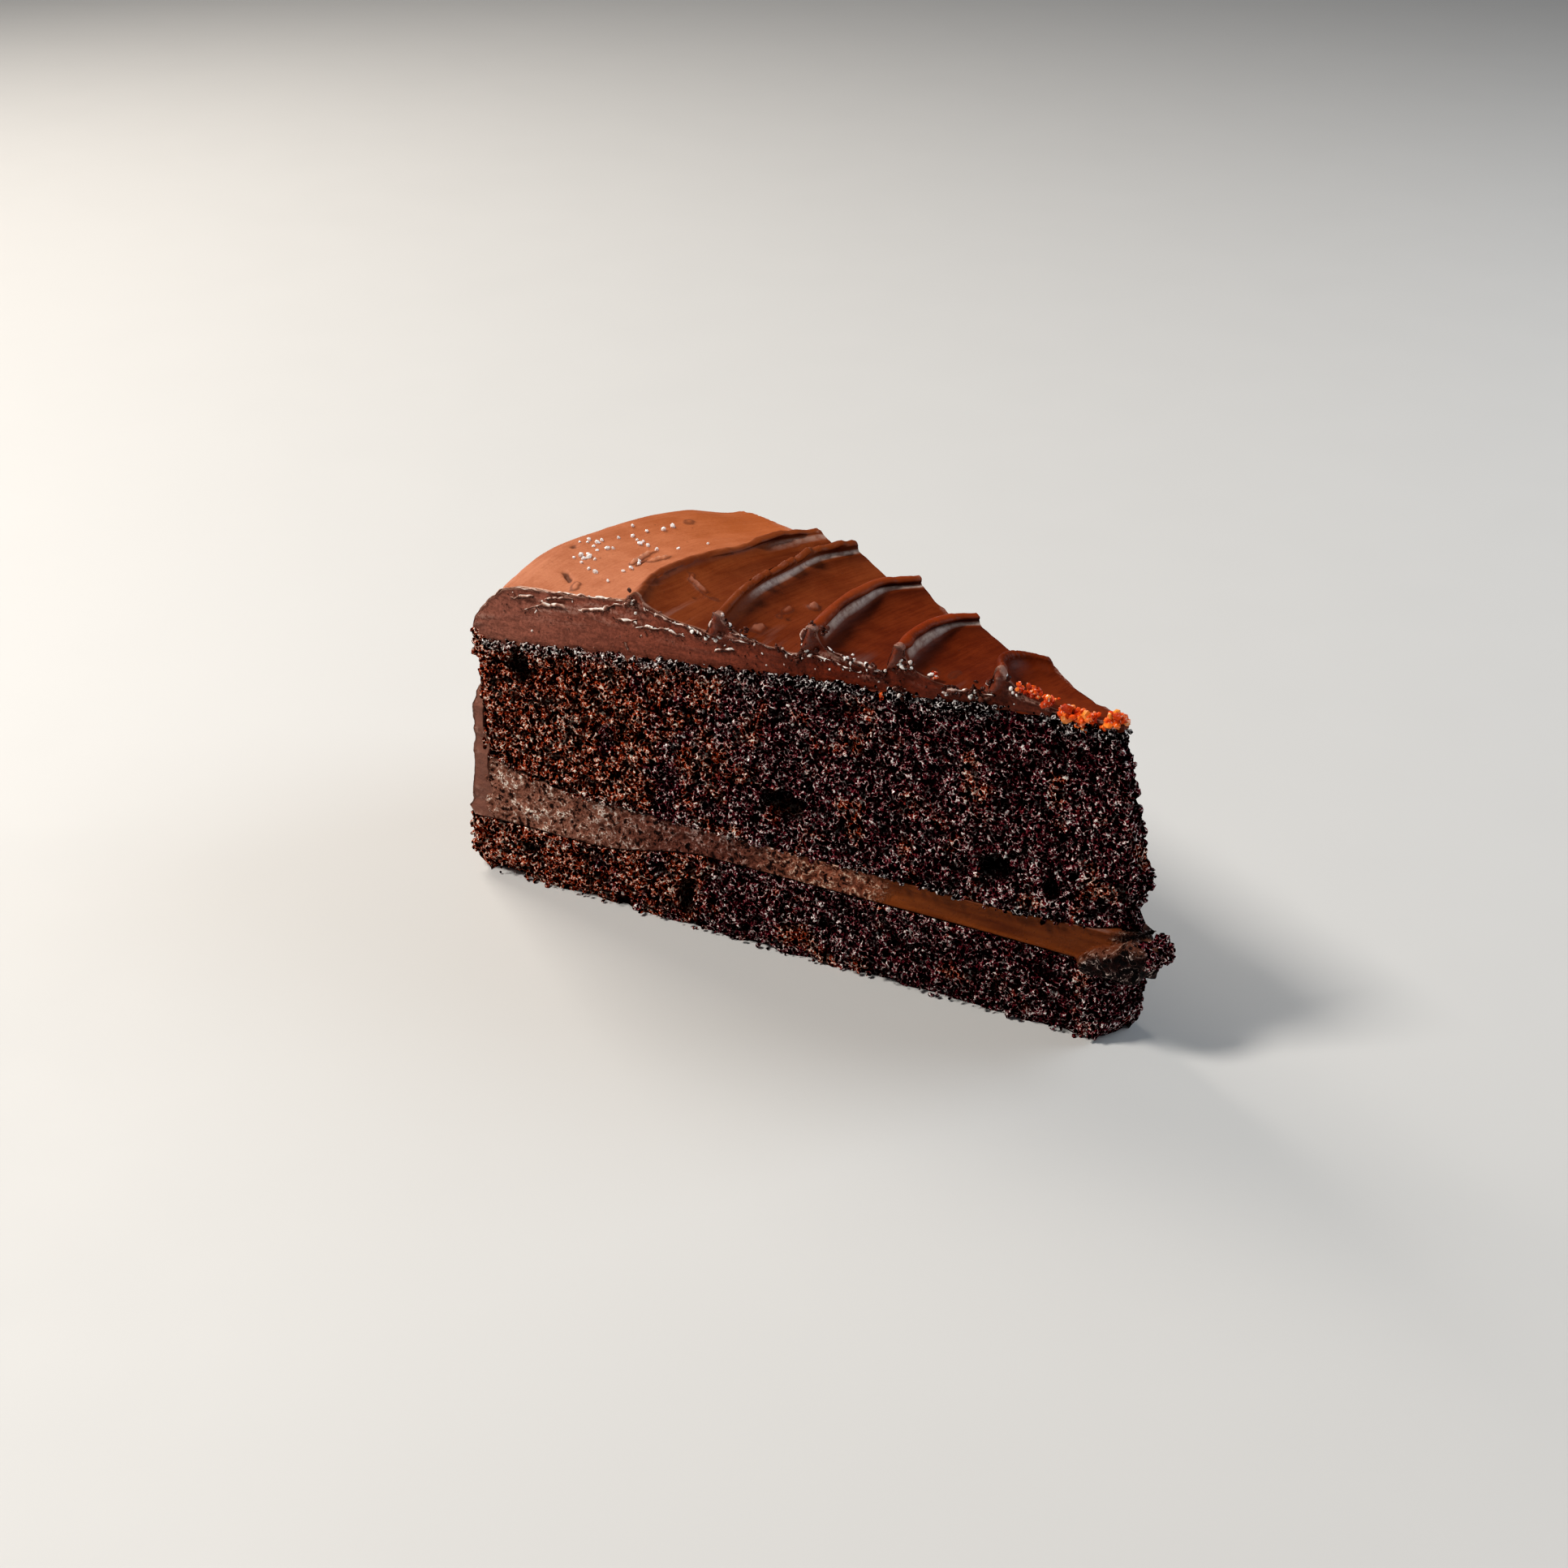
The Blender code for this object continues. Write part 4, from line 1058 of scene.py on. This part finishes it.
class Finish:
    # one material, its Principled shader and the nodes that feed it; sizes are in millimetres
    def __init__(self, name, **constants):
        self.material = bpy.data.materials.new(name)
        self.material.use_nodes = True
        self.tree = self.material.node_tree
        self.shader = self.tree.nodes["Principled BSDF"]
        for label, value in constants.items():
            self.shader.inputs[label.replace("_", " ")].default_value = value
        self.place = self.node("ShaderNodeTexCoord", {}, {}, "Object")

    def node(self, kind, settings, inputs, output=0):
        made = self.tree.nodes.new(kind)
        for label, value in settings.items():
            if label == "stops":
                ramp = made.color_ramp
                while len(ramp.elements) < len(value):
                    ramp.elements.new(0.5)
                for element, (at, colour) in zip(ramp.elements, value):
                    element.position = at
                    element.color = (*colour, 1)
            else:
                setattr(made, label, value)
        for label, value in inputs.items():
            self.feed(made.inputs[label], value)
        return Wire(self, made.outputs[output])

    def feed(self, socket, value):
        if isinstance(value, Wire):
            self.tree.links.new(value.socket, socket)
        elif isinstance(value, tuple) and socket.type == "RGBA":
            socket.default_value = (*value, 1)
        else:
            socket.default_value = value

    def set(self, label, value):
        self.feed(self.shader.inputs[label], value)

    def maths(self, operation, *values):
        return self.node("ShaderNodeMath", {"operation": operation}, dict(enumerate(values)))

    def reading(self, name):
        return self.node("ShaderNodeAttribute", {"attribute_name": name}, {}, "Fac")

    def axis(self, letter):
        return self.node("ShaderNodeSeparateXYZ", {}, {"Vector": self.place}, letter)

    def stretched(self, *amounts):
        # places scaled along each axis: a small amount draws a pattern out
        return self.node("ShaderNodeMapping", {"vector_type": "POINT"},
                         {"Vector": self.place, "Scale": Vector(amounts)}, "Vector")

    def noise(self, size, detail=2.0, rough=0.5, at=None):
        return self.node("ShaderNodeTexNoise", {}, {"Vector": at or self.place, "Scale": 1 / (size * mm),
                                                    "Detail": detail, "Roughness": rough}, "Fac")

    def cells(self, size):
        return self.node("ShaderNodeTexVoronoi", {"feature": "F1"},
                         {"Vector": self.place, "Scale": 1 / (size * mm)}, "Distance")

    def ramp(self, value, stops):
        return self.node("ShaderNodeValToRGB", {"stops": stops}, {"Fac": value}, "Color")

    def between(self, value, low, high):
        # 0 below low and 1 above high
        return self.node("ShaderNodeMapRange", {"interpolation_type": "SMOOTHSTEP"},
                         {"Value": value, "From Min": low, "From Max": high}, "Result")

    def mix(self, factor, first, second, blend="MIX"):
        return self.node("ShaderNodeMix", {"data_type": "RGBA", "blend_type": blend},
                         {0: factor, 6: first, 7: second}, 2)

    def ridges(self, noise, sharp):
        # thin winding lines where a noise crosses its middle value
        return 1 - self.maths("MINIMUM", self.maths("ABSOLUTE", noise - 0.5) * sharp, 1.0)

    def bump(self, height, distance, strength):
        inputs = {"Height": height, "Distance": distance * mm, "Strength": strength}
        return self.node("ShaderNodeBump", {}, inputs, "Normal")


def atRadius(radius):
    # how far along the slice a radius lies
    return (cake["centre"][0] - radius) * mm


# the crumb, by how high it stands, from its gaps to its moist glints, which are painted in as near white: red,
# brown towards the rim, and whiter, with more painted glints, under the icing and towards the point
spongeTones = {
    "red": ((0.42, (0.0004, 0.0001, 0.0001)), (0.53, (0.0080, 0.0003, 0.0008)), (0.64, (0.075, 0.0026, 0.0078)),
            (0.76, (0.240, 0.020, 0.034)), (0.81, (0.52, 0.33, 0.31)), (0.87, (1.0, 0.96, 0.91))),
    "brown": ((0.39, (0.0008, 0.0001, 0.0001)), (0.51, (0.024, 0.0014, 0.0004)),
              (0.62, (0.195, 0.0110, 0.0016)), (0.75, (0.53, 0.050, 0.0075)), (0.82, (0.66, 0.23, 0.11)),
              (0.89, (1.0, 0.90, 0.76))),
    "white": ((0.52, (0.0004, 0.0002, 0.0003)), (0.64, (0.0120, 0.0016, 0.0030)), (0.74, (0.070, 0.026, 0.031)),
              (0.80, (0.46, 0.41, 0.39)), (0.86, (1.0, 0.97, 0.94))),
    # near black: painted shade in the crumb's hollows and pits
    "hollow": (0.0012, 0.0004, 0.0005),
}


def spongeFinish(name, loose=False):
    finish = Finish(name, Roughness=0.7, IOR=1.45, Specular_IOR_Level=0.0, Coat_Roughness=0.18)
    x = finish.axis("X")
    rimward = 1 - finish.between(x, atRadius(132), atRadius(60))
    own, strip = finish.reading("own"), finish.reading("strip")
    patch = finish.noise(7, 2)
    worm = finish.ridges(finish.noise(1.15, 2, 0.55), 7.0)
    broken = finish.noise(0.65, 1, 0.5)
    # the crumb's pattern, brighter towards the rim as a painted falloff of the light, and a little brighter in the
    # moist strip, where glints are painted
    light = worm * 0.70 + broken * 0.80 + own * 0.10 + patch * 0.20 + rimward * 0.050 + strip * 0.030 - 0.408
    red, brown, white = (finish.ramp(light, spongeTones[tone]) for tone in ("red", "brown", "white"))
    colour = finish.mix(finish.between(patch + rimward * 0.42, 0.54, 0.72), red, brown)
    # where more painted glints go: the moist strip under the icing, towards the point, and in patches
    glintMask = finish.between(strip * 0.64 + finish.between(x, -0.01, 0.05) * 0.26 + patch * 0.4, 0.46, 0.95)
    colour = finish.mix(glintMask, colour, white)
    # painted shade in the crumb's hollows, pits and pores
    hollow = finish.between(finish.noise(2.8, 2, 0.6), 0.54, 0.66)
    if not loose:
        hollow = finish.maths("MAXIMUM", hollow, finish.between(finish.reading("pit"), 0.3, 0.9))
    colour = finish.mix(hollow * (0.6 if loose else 0.92), colour, spongeTones["hollow"])
    finish.set("Base Color", colour)
    finish.set("Coat Weight", finish.between(light, 0.62, 0.9) * (1 - hollow) * 0.5)
    finish.set("Normal", finish.bump(light, 0.45, 0.9))
    return finish.material


fillingTones = {
    # the rough part's lightest stops are painted glints
    "rough": ((0.44, (0.0100, 0.0026, 0.0016)), (0.55, (0.140, 0.0440, 0.0260)), (0.70, (0.240, 0.085, 0.053)),
              (0.84, (0.32, 0.128, 0.083)), (0.94, (0.48, 0.25, 0.18)), (1.02, (0.95, 0.82, 0.70))),
    "sleek": ((0.3, (0.120, 0.022, 0.0035)), (0.7, (0.240, 0.055, 0.0095))),
    # these three are multiplied in, along the slice: painted shade over the rough part's middle, a more orange tone
    # past it, and painted shade on the sleek part towards the point
    "roughMiddleShade": (0.46, 0.33, 0.33),
    "roughEnd": (0.85, 0.66, 0.56),
    "sleekEndShade": (0.62, 0.55, 0.50),
    "speck": (0.02, 0.005, 0.003),
    # the flap's lightest stop is painted glints, and its lit edge gets a painted highlight
    "flap": ((0.55, (0.0010, 0.0003, 0.0003)), (0.82, (0.0085, 0.0016, 0.0012)),
             (0.93, (0.032, 0.0090, 0.0070)), (1.0, (0.60, 0.46, 0.40))),
    "flapEdgeHighlight": (0.36, 0.120, 0.066),
}


def fillingFinish():
    finish = Finish("fillingCream", Roughness=0.5, IOR=1.45, Specular_IOR_Level=0.04, Coat_Roughness=0.3)
    tones = fillingTones
    smooth, flap, lit = finish.reading("smooth"), finish.reading("flap"), finish.reading("lit")
    x = finish.axis("X")
    worm = finish.ridges(finish.noise(1.6, 3, 0.6), 6.0) * 0.6 + finish.noise(0.8, 2, 0.6) * 0.7
    tall = worm + (finish.noise(4.5, 2) - 0.5) * 0.6 + (finish.noise(0.45, 2) - 0.5) * 0.5
    pastMiddle = finish.between(x, -0.012, 0.006)
    rough = finish.ramp(tall, tones["rough"])
    # painted shade over the middle of the rough part
    middle = finish.between(x, -0.050, -0.020) * (1 - pastMiddle)
    rough = finish.mix(middle, rough, tones["roughMiddleShade"], "MULTIPLY")
    rough = finish.mix(pastMiddle, rough, tones["roughEnd"], "MULTIPLY")
    sleek = finish.ramp(finish.noise(1.6, 2, 0.5, finish.stretched(0.12, 0.12, 1.0)), tones["sleek"])
    # painted shade on the sleek part towards the point
    sleek = finish.mix(finish.between(x, 0.0, 0.055), sleek, tones["sleekEndShade"], "MULTIPLY")
    sleek = finish.mix(finish.between(finish.cells(0.8), 0.16, 0.08) * 0.7, sleek, tones["speck"])
    colour = finish.mix(smooth, rough, sleek)
    dark = finish.ramp(worm, tones["flap"])
    # painted highlight along the flap's lit edge
    dark = finish.mix(lit * finish.between(worm, 0.45, 0.7) * 0.55, dark, tones["flapEdgeHighlight"])
    colour = finish.mix(flap, colour, dark)
    finish.set("Base Color", colour)
    finish.set("Roughness", 0.6 - smooth * 0.25)
    finish.set("Coat Weight", finish.between(tall, 0.86, 1.05) * (1 - smooth) * 0.3 + smooth * 0.04)
    finish.set("Normal", finish.bump((tall + worm) * (1 - smooth * 0.92), 1.0, 0.7))
    return finish.material


icingTones = {
    # the sweeps, darker towards the point partly as a painted falloff of the light, and the rolled edges of the
    # crests, painted lighter as lit: towards the rim, and towards the point
    "dim": ((0.128, 0.0205, 0.0035), (0.086, 0.0088, 0.0012)),
    "bright": ((0.180, 0.036, 0.0080), (0.138, 0.0180, 0.0030)),
    "roll": ((0.235, 0.052, 0.014), (0.240, 0.028, 0.0030)),
    # the widest sweep, paler partly as painted light where it faces the lamps: at the near cut, and at the far cut
    "paleDim": ((0.400, 0.122, 0.053), (0.335, 0.075, 0.016)),
    "paleBright": ((0.510, 0.180, 0.087), (0.415, 0.106, 0.031)),
    # these three are multiplied in: painted shade under the crests' rolls, and mottles on the sweeps and on the widest
    # one
    "under": (0.34, 0.26, 0.40),
    "mottle": (0.62, 0.52, 0.46),
    "paleMottle": (0.72, 0.60, 0.54),
    # painted sheen, in streaks near the near cut
    "paintedSheen": (0.34, 0.20, 0.17),
    "wall": ((0.060, 0.019, 0.013), (0.190, 0.072, 0.052)),    # darkest and lightest grain
    # dark dots for small pores, painted shade
    "pit": (0.05, 0.014, 0.007),
    # the cuts, from the rim to the point, darker towards the point partly as a painted falloff of the light; their
    # grain, multiplied in; and the coat's own cut edge
    "cut": ((0.0, (0.350, 0.116, 0.076)), (0.33, (0.265, 0.064, 0.036)), (0.62, (0.135, 0.0155, 0.0045)),
            (1.0, (0.120, 0.026, 0.014))),
    "cutGrain": ((0.42, 0.40, 0.40), (1.06, 1.06, 1.06)),
    "cutWall": ((0.090, 0.034, 0.023), (0.275, 0.110, 0.075)),
    "wet": (0.140, 0.024, 0.0095),
    # a painted reflection on the walls under the crests
    "grey": (0.52, 0.385, 0.315),
    # marks: painted shade round the edge of each raised mark, painted light on the raised ones, painted shade in the
    # sunken ones
    "markRimShade": (0.070, 0.016, 0.0075),
    "markRaisedLight": ((0.30, 0.105, 0.062), (0.62, 0.27, 0.16)),    # on the other sweeps, and on the widest
    "markHollowShade": (0.040, 0.009, 0.004),
    # the burr, painted pale as a highlight along the cut's upper edge
    "burr": (0.78, 0.48, 0.36),
    # raised flakes on the cut, painted paler as a highlight
    "flake": (0.40, 0.22, 0.17),
}


def icingFinish():
    finish = Finish("chocolateIcing", Roughness=0.4, IOR=1.46, Specular_IOR_Level=0.05, Coat_Roughness=0.2)
    tones = icingTones
    names = ("firstSweep", "cut", "burr", "flake", "wet", "wall", "mark", "grey", "under", "roll")
    first, cut, burr, flake, wet, wall, mark, grey, under, roll = (finish.reading(name) for name in names)

    # radius and turn round the cake's middle, so that the knife's lines follow the sweeps
    x, y = finish.axis("X") - cake["centre"][0] * mm, finish.axis("Y") - cake["centre"][1] * mm
    radius = (x * x + y * y) ** 0.5
    turn = finish.maths("ARCTAN2", y, x * -1)
    swept = finish.node("ShaderNodeCombineXYZ", {},
                        {"X": radius, "Y": turn * 0.004, "Z": finish.axis("Z") * 0.3})
    line = finish.noise(0.55, 3, 0.6, swept)
    broad = finish.noise(8, 2)
    grainy = finish.noise(0.6, 3, 0.65)

    # the sweeps: darker ones, darker towards the point partly as a painted falloff of the light, and the pale widest
    # one, paler partly as painted light
    toPoint = finish.between(radius, 95 * mm, 45 * mm)
    dim, bright = finish.mix(toPoint, *tones["dim"]), finish.mix(toPoint, *tones["bright"])
    dark = finish.mix(finish.between(line * 0.6 + broad + grainy * 0.3, 0.72, 1.15), dim, bright)
    far = finish.between(turn, -0.20, 0.22)
    dim, bright = finish.mix(far, *tones["paleDim"]), finish.mix(far, *tones["paleBright"])
    pale = finish.mix(finish.between(line * 0.4 + broad * 0.9 + grainy * 0.5, 0.65, 1.15), dim, bright)
    # painted shade under the crests' rolls, and painted light on the rolls
    dark = finish.mix(under * 0.85, dark, tones["under"], "MULTIPLY")
    dark = finish.mix(roll * 0.8, dark, finish.mix(toPoint, *tones["roll"]))
    mottled = finish.between(finish.noise(1.3, 3, 0.6), 0.45, 0.62)
    dark = finish.mix(mottled * 0.16, dark, tones["mottle"], "MULTIPLY")
    mottled = finish.between(finish.noise(1.1, 3, 0.65), 0.46, 0.66)
    pale = finish.mix(mottled * 0.20, pale, tones["paleMottle"], "MULTIPLY")
    # painted sheen in streaks along the sweeps near the near cut
    paintedSheen = finish.between(finish.noise(3.0, 3, 0.6, swept), 0.52, 0.7) * finish.between(turn, -0.11, -0.23)
    dark = finish.mix(paintedSheen * 0.22, dark, tones["paintedSheen"])
    top = finish.mix(first, dark, pale)
    top = finish.mix(wall, top, finish.mix(grainy, *tones["wall"]))
    # dark dots for small pores on the sweeps, painted shade
    pits = finish.between(finish.cells(1.7), 0.13, 0.06) * finish.between(finish.noise(5, 2), 0.45, 0.6)
    top = finish.mix(pits * 0.7, top, tones["pit"])

    # the cuts, smeared along by the knife
    cutLine = finish.noise(1.1, 4, 0.62, finish.stretched(0.28, 0.28, 1.0))
    toRim, toTip = -0.130, -0.010
    share = finish.node("ShaderNodeMapRange", {}, {"Value": x, "From Min": toRim, "From Max": toTip}, "Result")
    # darker towards the point, partly a painted falloff of the light
    cutTone = finish.ramp(share, tones["cut"])
    grain = finish.between(cutLine * 0.6 + grainy * 0.6, 0.42, 0.78)
    cutTone = finish.mix(0.9, cutTone, finish.mix(grain, *tones["cutGrain"]), "MULTIPLY")
    cutTone = finish.mix(wall * 0.9, cutTone, finish.mix(cutLine, *tones["cutWall"]))
    colour = finish.mix(finish.between(cut, 0.3, 0.9), top, cutTone)

    # wet beads, the painted grey reflection on the walls under the crests, marks painted with light and shade, and the
    # burr and flakes painted pale as highlights
    colour = finish.mix(finish.between(wet, 0.0, 0.6) * 0.9, colour, tones["wet"])
    creased = finish.between(finish.noise(1.5, 3, 0.65), 0.34, 0.62)
    colour = finish.mix(grey * (0.45 + creased * 0.55), colour, tones["grey"])
    # painted shade round the edge of each raised mark, painted light on the raised marks, painted shade in the sunken
    # ones
    rimShadeMask = finish.between(mark, 0.04, 0.16) * (1 - finish.between(mark, 0.2, 0.42))
    colour = finish.mix(rimShadeMask * 0.6, colour, tones["markRimShade"])
    colour = finish.mix(finish.between(mark, 0.3, 0.8) * 0.7, colour, finish.mix(first, *tones["markRaisedLight"]))
    colour = finish.mix(finish.between(mark, -0.1, -0.5) * 0.8, colour, tones["markHollowShade"])
    colour = finish.mix(burr * finish.between(grainy, 0.25, 0.5) * 0.95, colour, tones["burr"])
    colour = finish.mix(flake * finish.between(grainy, 0.4, 0.6) * 0.6, colour, tones["flake"])
    finish.set("Base Color", colour)
    finish.set("Roughness", 0.42 + first * 0.10 - cut * 0.06)
    finish.set("Coat Weight", wet * 0.4 + grey * 0.12)
    height = line * 0.45 + grainy * (0.30 + first * 0.30) + (cutLine * 1.9 + grainy * 0.8) * cut
    finish.set("Normal", finish.bump(height, 0.20, 0.8))
    return finish.material


# the flakes' tones, warm towards the rim and cool towards the point; their top stops are near white, painted glints
flakeTones = {
    "warm": ((0.30, (0.060, 0.018, 0.011)), (0.58, (0.24, 0.090, 0.060)), (0.76, (0.62, 0.38, 0.29)),
             (0.90, (0.98, 0.88, 0.80))),
    "cool": ((0.35, (0.036, 0.0060, 0.0030)), (0.68, (0.120, 0.030, 0.017)), (0.82, (0.55, 0.38, 0.32)),
             (0.92, (0.98, 0.93, 0.88))),
}


def flakeFinish():
    finish = Finish("icingFlake", Roughness=0.2, IOR=1.46, Specular_IOR_Level=0.12)
    own = finish.reading("own") * 0.88 + finish.noise(0.5, 2) * 0.24
    warm, cool = finish.ramp(own, flakeTones["warm"]), finish.ramp(own, flakeTones["cool"])
    finish.set("Base Color", finish.mix(finish.between(finish.axis("X"), -0.035, -0.015), warm, cool))
    finish.set("Roughness", 0.14 + finish.noise(0.7, 2) * 0.2)
    return finish.material


crystalTones = {"dull": (0.90, 0.86, 0.82), "clear": (1.0, 0.99, 0.97), "stained": (0.80, 0.70, 0.62)}


def crystalFinish():
    finish = Finish("sugarCrystal", Roughness=0.15, IOR=1.54)
    tint = finish.mix(finish.reading("own"), crystalTones["dull"], crystalTones["clear"])
    finish.set("Base Color", finish.mix(finish.noise(0.4, 1) * 0.25, tint, crystalTones["stained"]))
    return finish.material


toffeeTones = {
    "crumb": ((0.0, (0.090, 0.0050, 0.0008)), (0.30, (0.380, 0.0220, 0.0018)), (0.58, (0.86, 0.075, 0.0050)),
              (0.84, (1.0, 0.160, 0.010)), (1.0, (1.0, 0.30, 0.034))),
    # painted glints on the toffee
    "glint": (0.98, 0.80, 0.58),
}


def toffeeFinish():
    finish = Finish("toffeeCrumb", Roughness=0.3, IOR=1.45, Specular_IOR_Level=0.12, Coat_Roughness=0.12)
    own = finish.reading("own")
    toTip = finish.between(finish.axis("X"), atRadius(24), atRadius(3))
    tone = finish.ramp(own * 0.75 + finish.noise(1.1, 2) * 0.35 + toTip * 0.22 - 0.06, toffeeTones["crumb"])
    # painted glints in small patches
    glint = finish.between(finish.noise(0.5, 1), 0.62, 0.70)
    finish.set("Base Color", finish.mix(glint * 0.55, tone, toffeeTones["glint"]))
    finish.set("Coat Weight", finish.between(own, 0.2, 0.9) * 0.7)
    finish.set("Normal", finish.bump(finish.noise(0.6, 3), 0.25, 0.6))
    return finish.material


def wear(piece, material, slot, *nodes):
    # gives a piece its material and its body, and hides the CAD solids that it replaces
    piece.data.materials.clear()
    piece.data.materials.append(material)
    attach(piece, "root")
    if nodes:
        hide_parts(*nodes)


def makeSlice():
    sponge = spongeFinish("darkSponge")
    wear(makeLowerSponge(), sponge, "dark_sponge", "lower_sponge")
    print("lower sponge made")
    wear(makeFilling(), fillingFinish(), "filling_cream", "filling")
    print("filling made")
    wear(makeUpperSponge(), sponge, "dark_sponge", "upper_sponge")
    print("upper sponge made")
    wear(makeIcing(), icingFinish(), "chocolate_icing", "icing")
    print("icing made")
    wear(makeCrumbs(), spongeFinish("looseCrumb", loose=True), "dark_sponge")
    wear(makeCrystals(), crystalFinish(), "chocolate_icing")
    wear(makeTipCrumbs(), toffeeFinish(), "dark_sponge")
    wear(makeFlakes(), flakeFinish(), "chocolate_icing")
    print("crumbs, crystals and flakes made")


# a pale table, soft lights, and the camera where the photograph was taken from
studio = {
    "floorSize": 12.0,                 # metres, as are the lights' places and sizes
    "floorTone": (0.62, 0.61, 0.595),
    "worldTone": (0.80, 0.88, 1.0),
    "worldStrength": 0.10,
    "lights": (                       # name, place round the slice, size, watts, tone
        ("key", (-0.30, -0.52, 0.82), 0.24, 9.0, (1.0, 0.96, 0.90)),
        ("leftBack", (-0.85, 0.12, 0.60), 0.40, 6.0, (1.0, 0.93, 0.84)),
        ("rightWindow", (0.50, 0.72, 0.52), 0.60, 5.0, (0.80, 0.90, 1.0)),
    ),
    "lightAim": (0, 0, 0.04),
    "cameraPlace": (229.5, -323.6, 246.9),    # millimetres from the cake's middle, as is its aim
    "cameraAim": (-114.9, 34.9, 0.0),
    "cameraRoll": 0.27,                       # degrees
    "lens": 59.63,
}


def makeStudio():
    scene.view_settings.view_transform = "Standard"
    bpy.ops.mesh.primitive_plane_add(size=studio["floorSize"])
    floor = nameActive("paleTable")
    finish = Finish("paleTable", Roughness=0.6)
    tone = studio["floorTone"]
    finish.set("Base Color", finish.mix(finish.noise(60, 3) * 0.5, tone, tuple(part * 0.96 for part in tone)))
    finish.set("Roughness", 0.55 + finish.noise(25, 2) * 0.1)
    floor.data.materials.append(finish.material)
    world = bpy.data.worlds.new("studio")
    scene.world = world
    world.use_nodes = True
    world.node_tree.nodes["Background"].inputs["Color"].default_value = (*studio["worldTone"], 1)
    world.node_tree.nodes["Background"].inputs["Strength"].default_value = studio["worldStrength"]
    for name, place, size, watts, tone in studio["lights"]:
        bpy.ops.object.light_add(type="AREA", location=place)
        light = bpy.context.object
        light.name = name
        light.data.size, light.data.energy, light.data.color = size, watts, tone
        aim = Vector(studio["lightAim"]) - Vector(place)
        light.rotation_euler = aim.to_track_quat("-Z", "Y").to_euler()


def makeCamera():
    middle = Vector((*cake["centre"], 0))
    place = (middle + Vector(studio["cameraPlace"])) * mm
    aim = (middle + Vector(studio["cameraAim"])) * mm
    bpy.ops.object.camera_add(location=place)
    camera = bpy.context.object
    roll = Matrix.Rotation(math.radians(studio["cameraRoll"]), 3, "Z")
    camera.rotation_euler = ((aim - place).to_track_quat("-Z", "Y").to_matrix() @ roll).to_euler()
    camera.data.sensor_width = 36
    camera.data.lens = studio["lens"]
    camera.data.clip_start = 0.01
    scene.camera = camera


makeSlice()
makeStudio()
makeCamera()
print("studio and camera made")
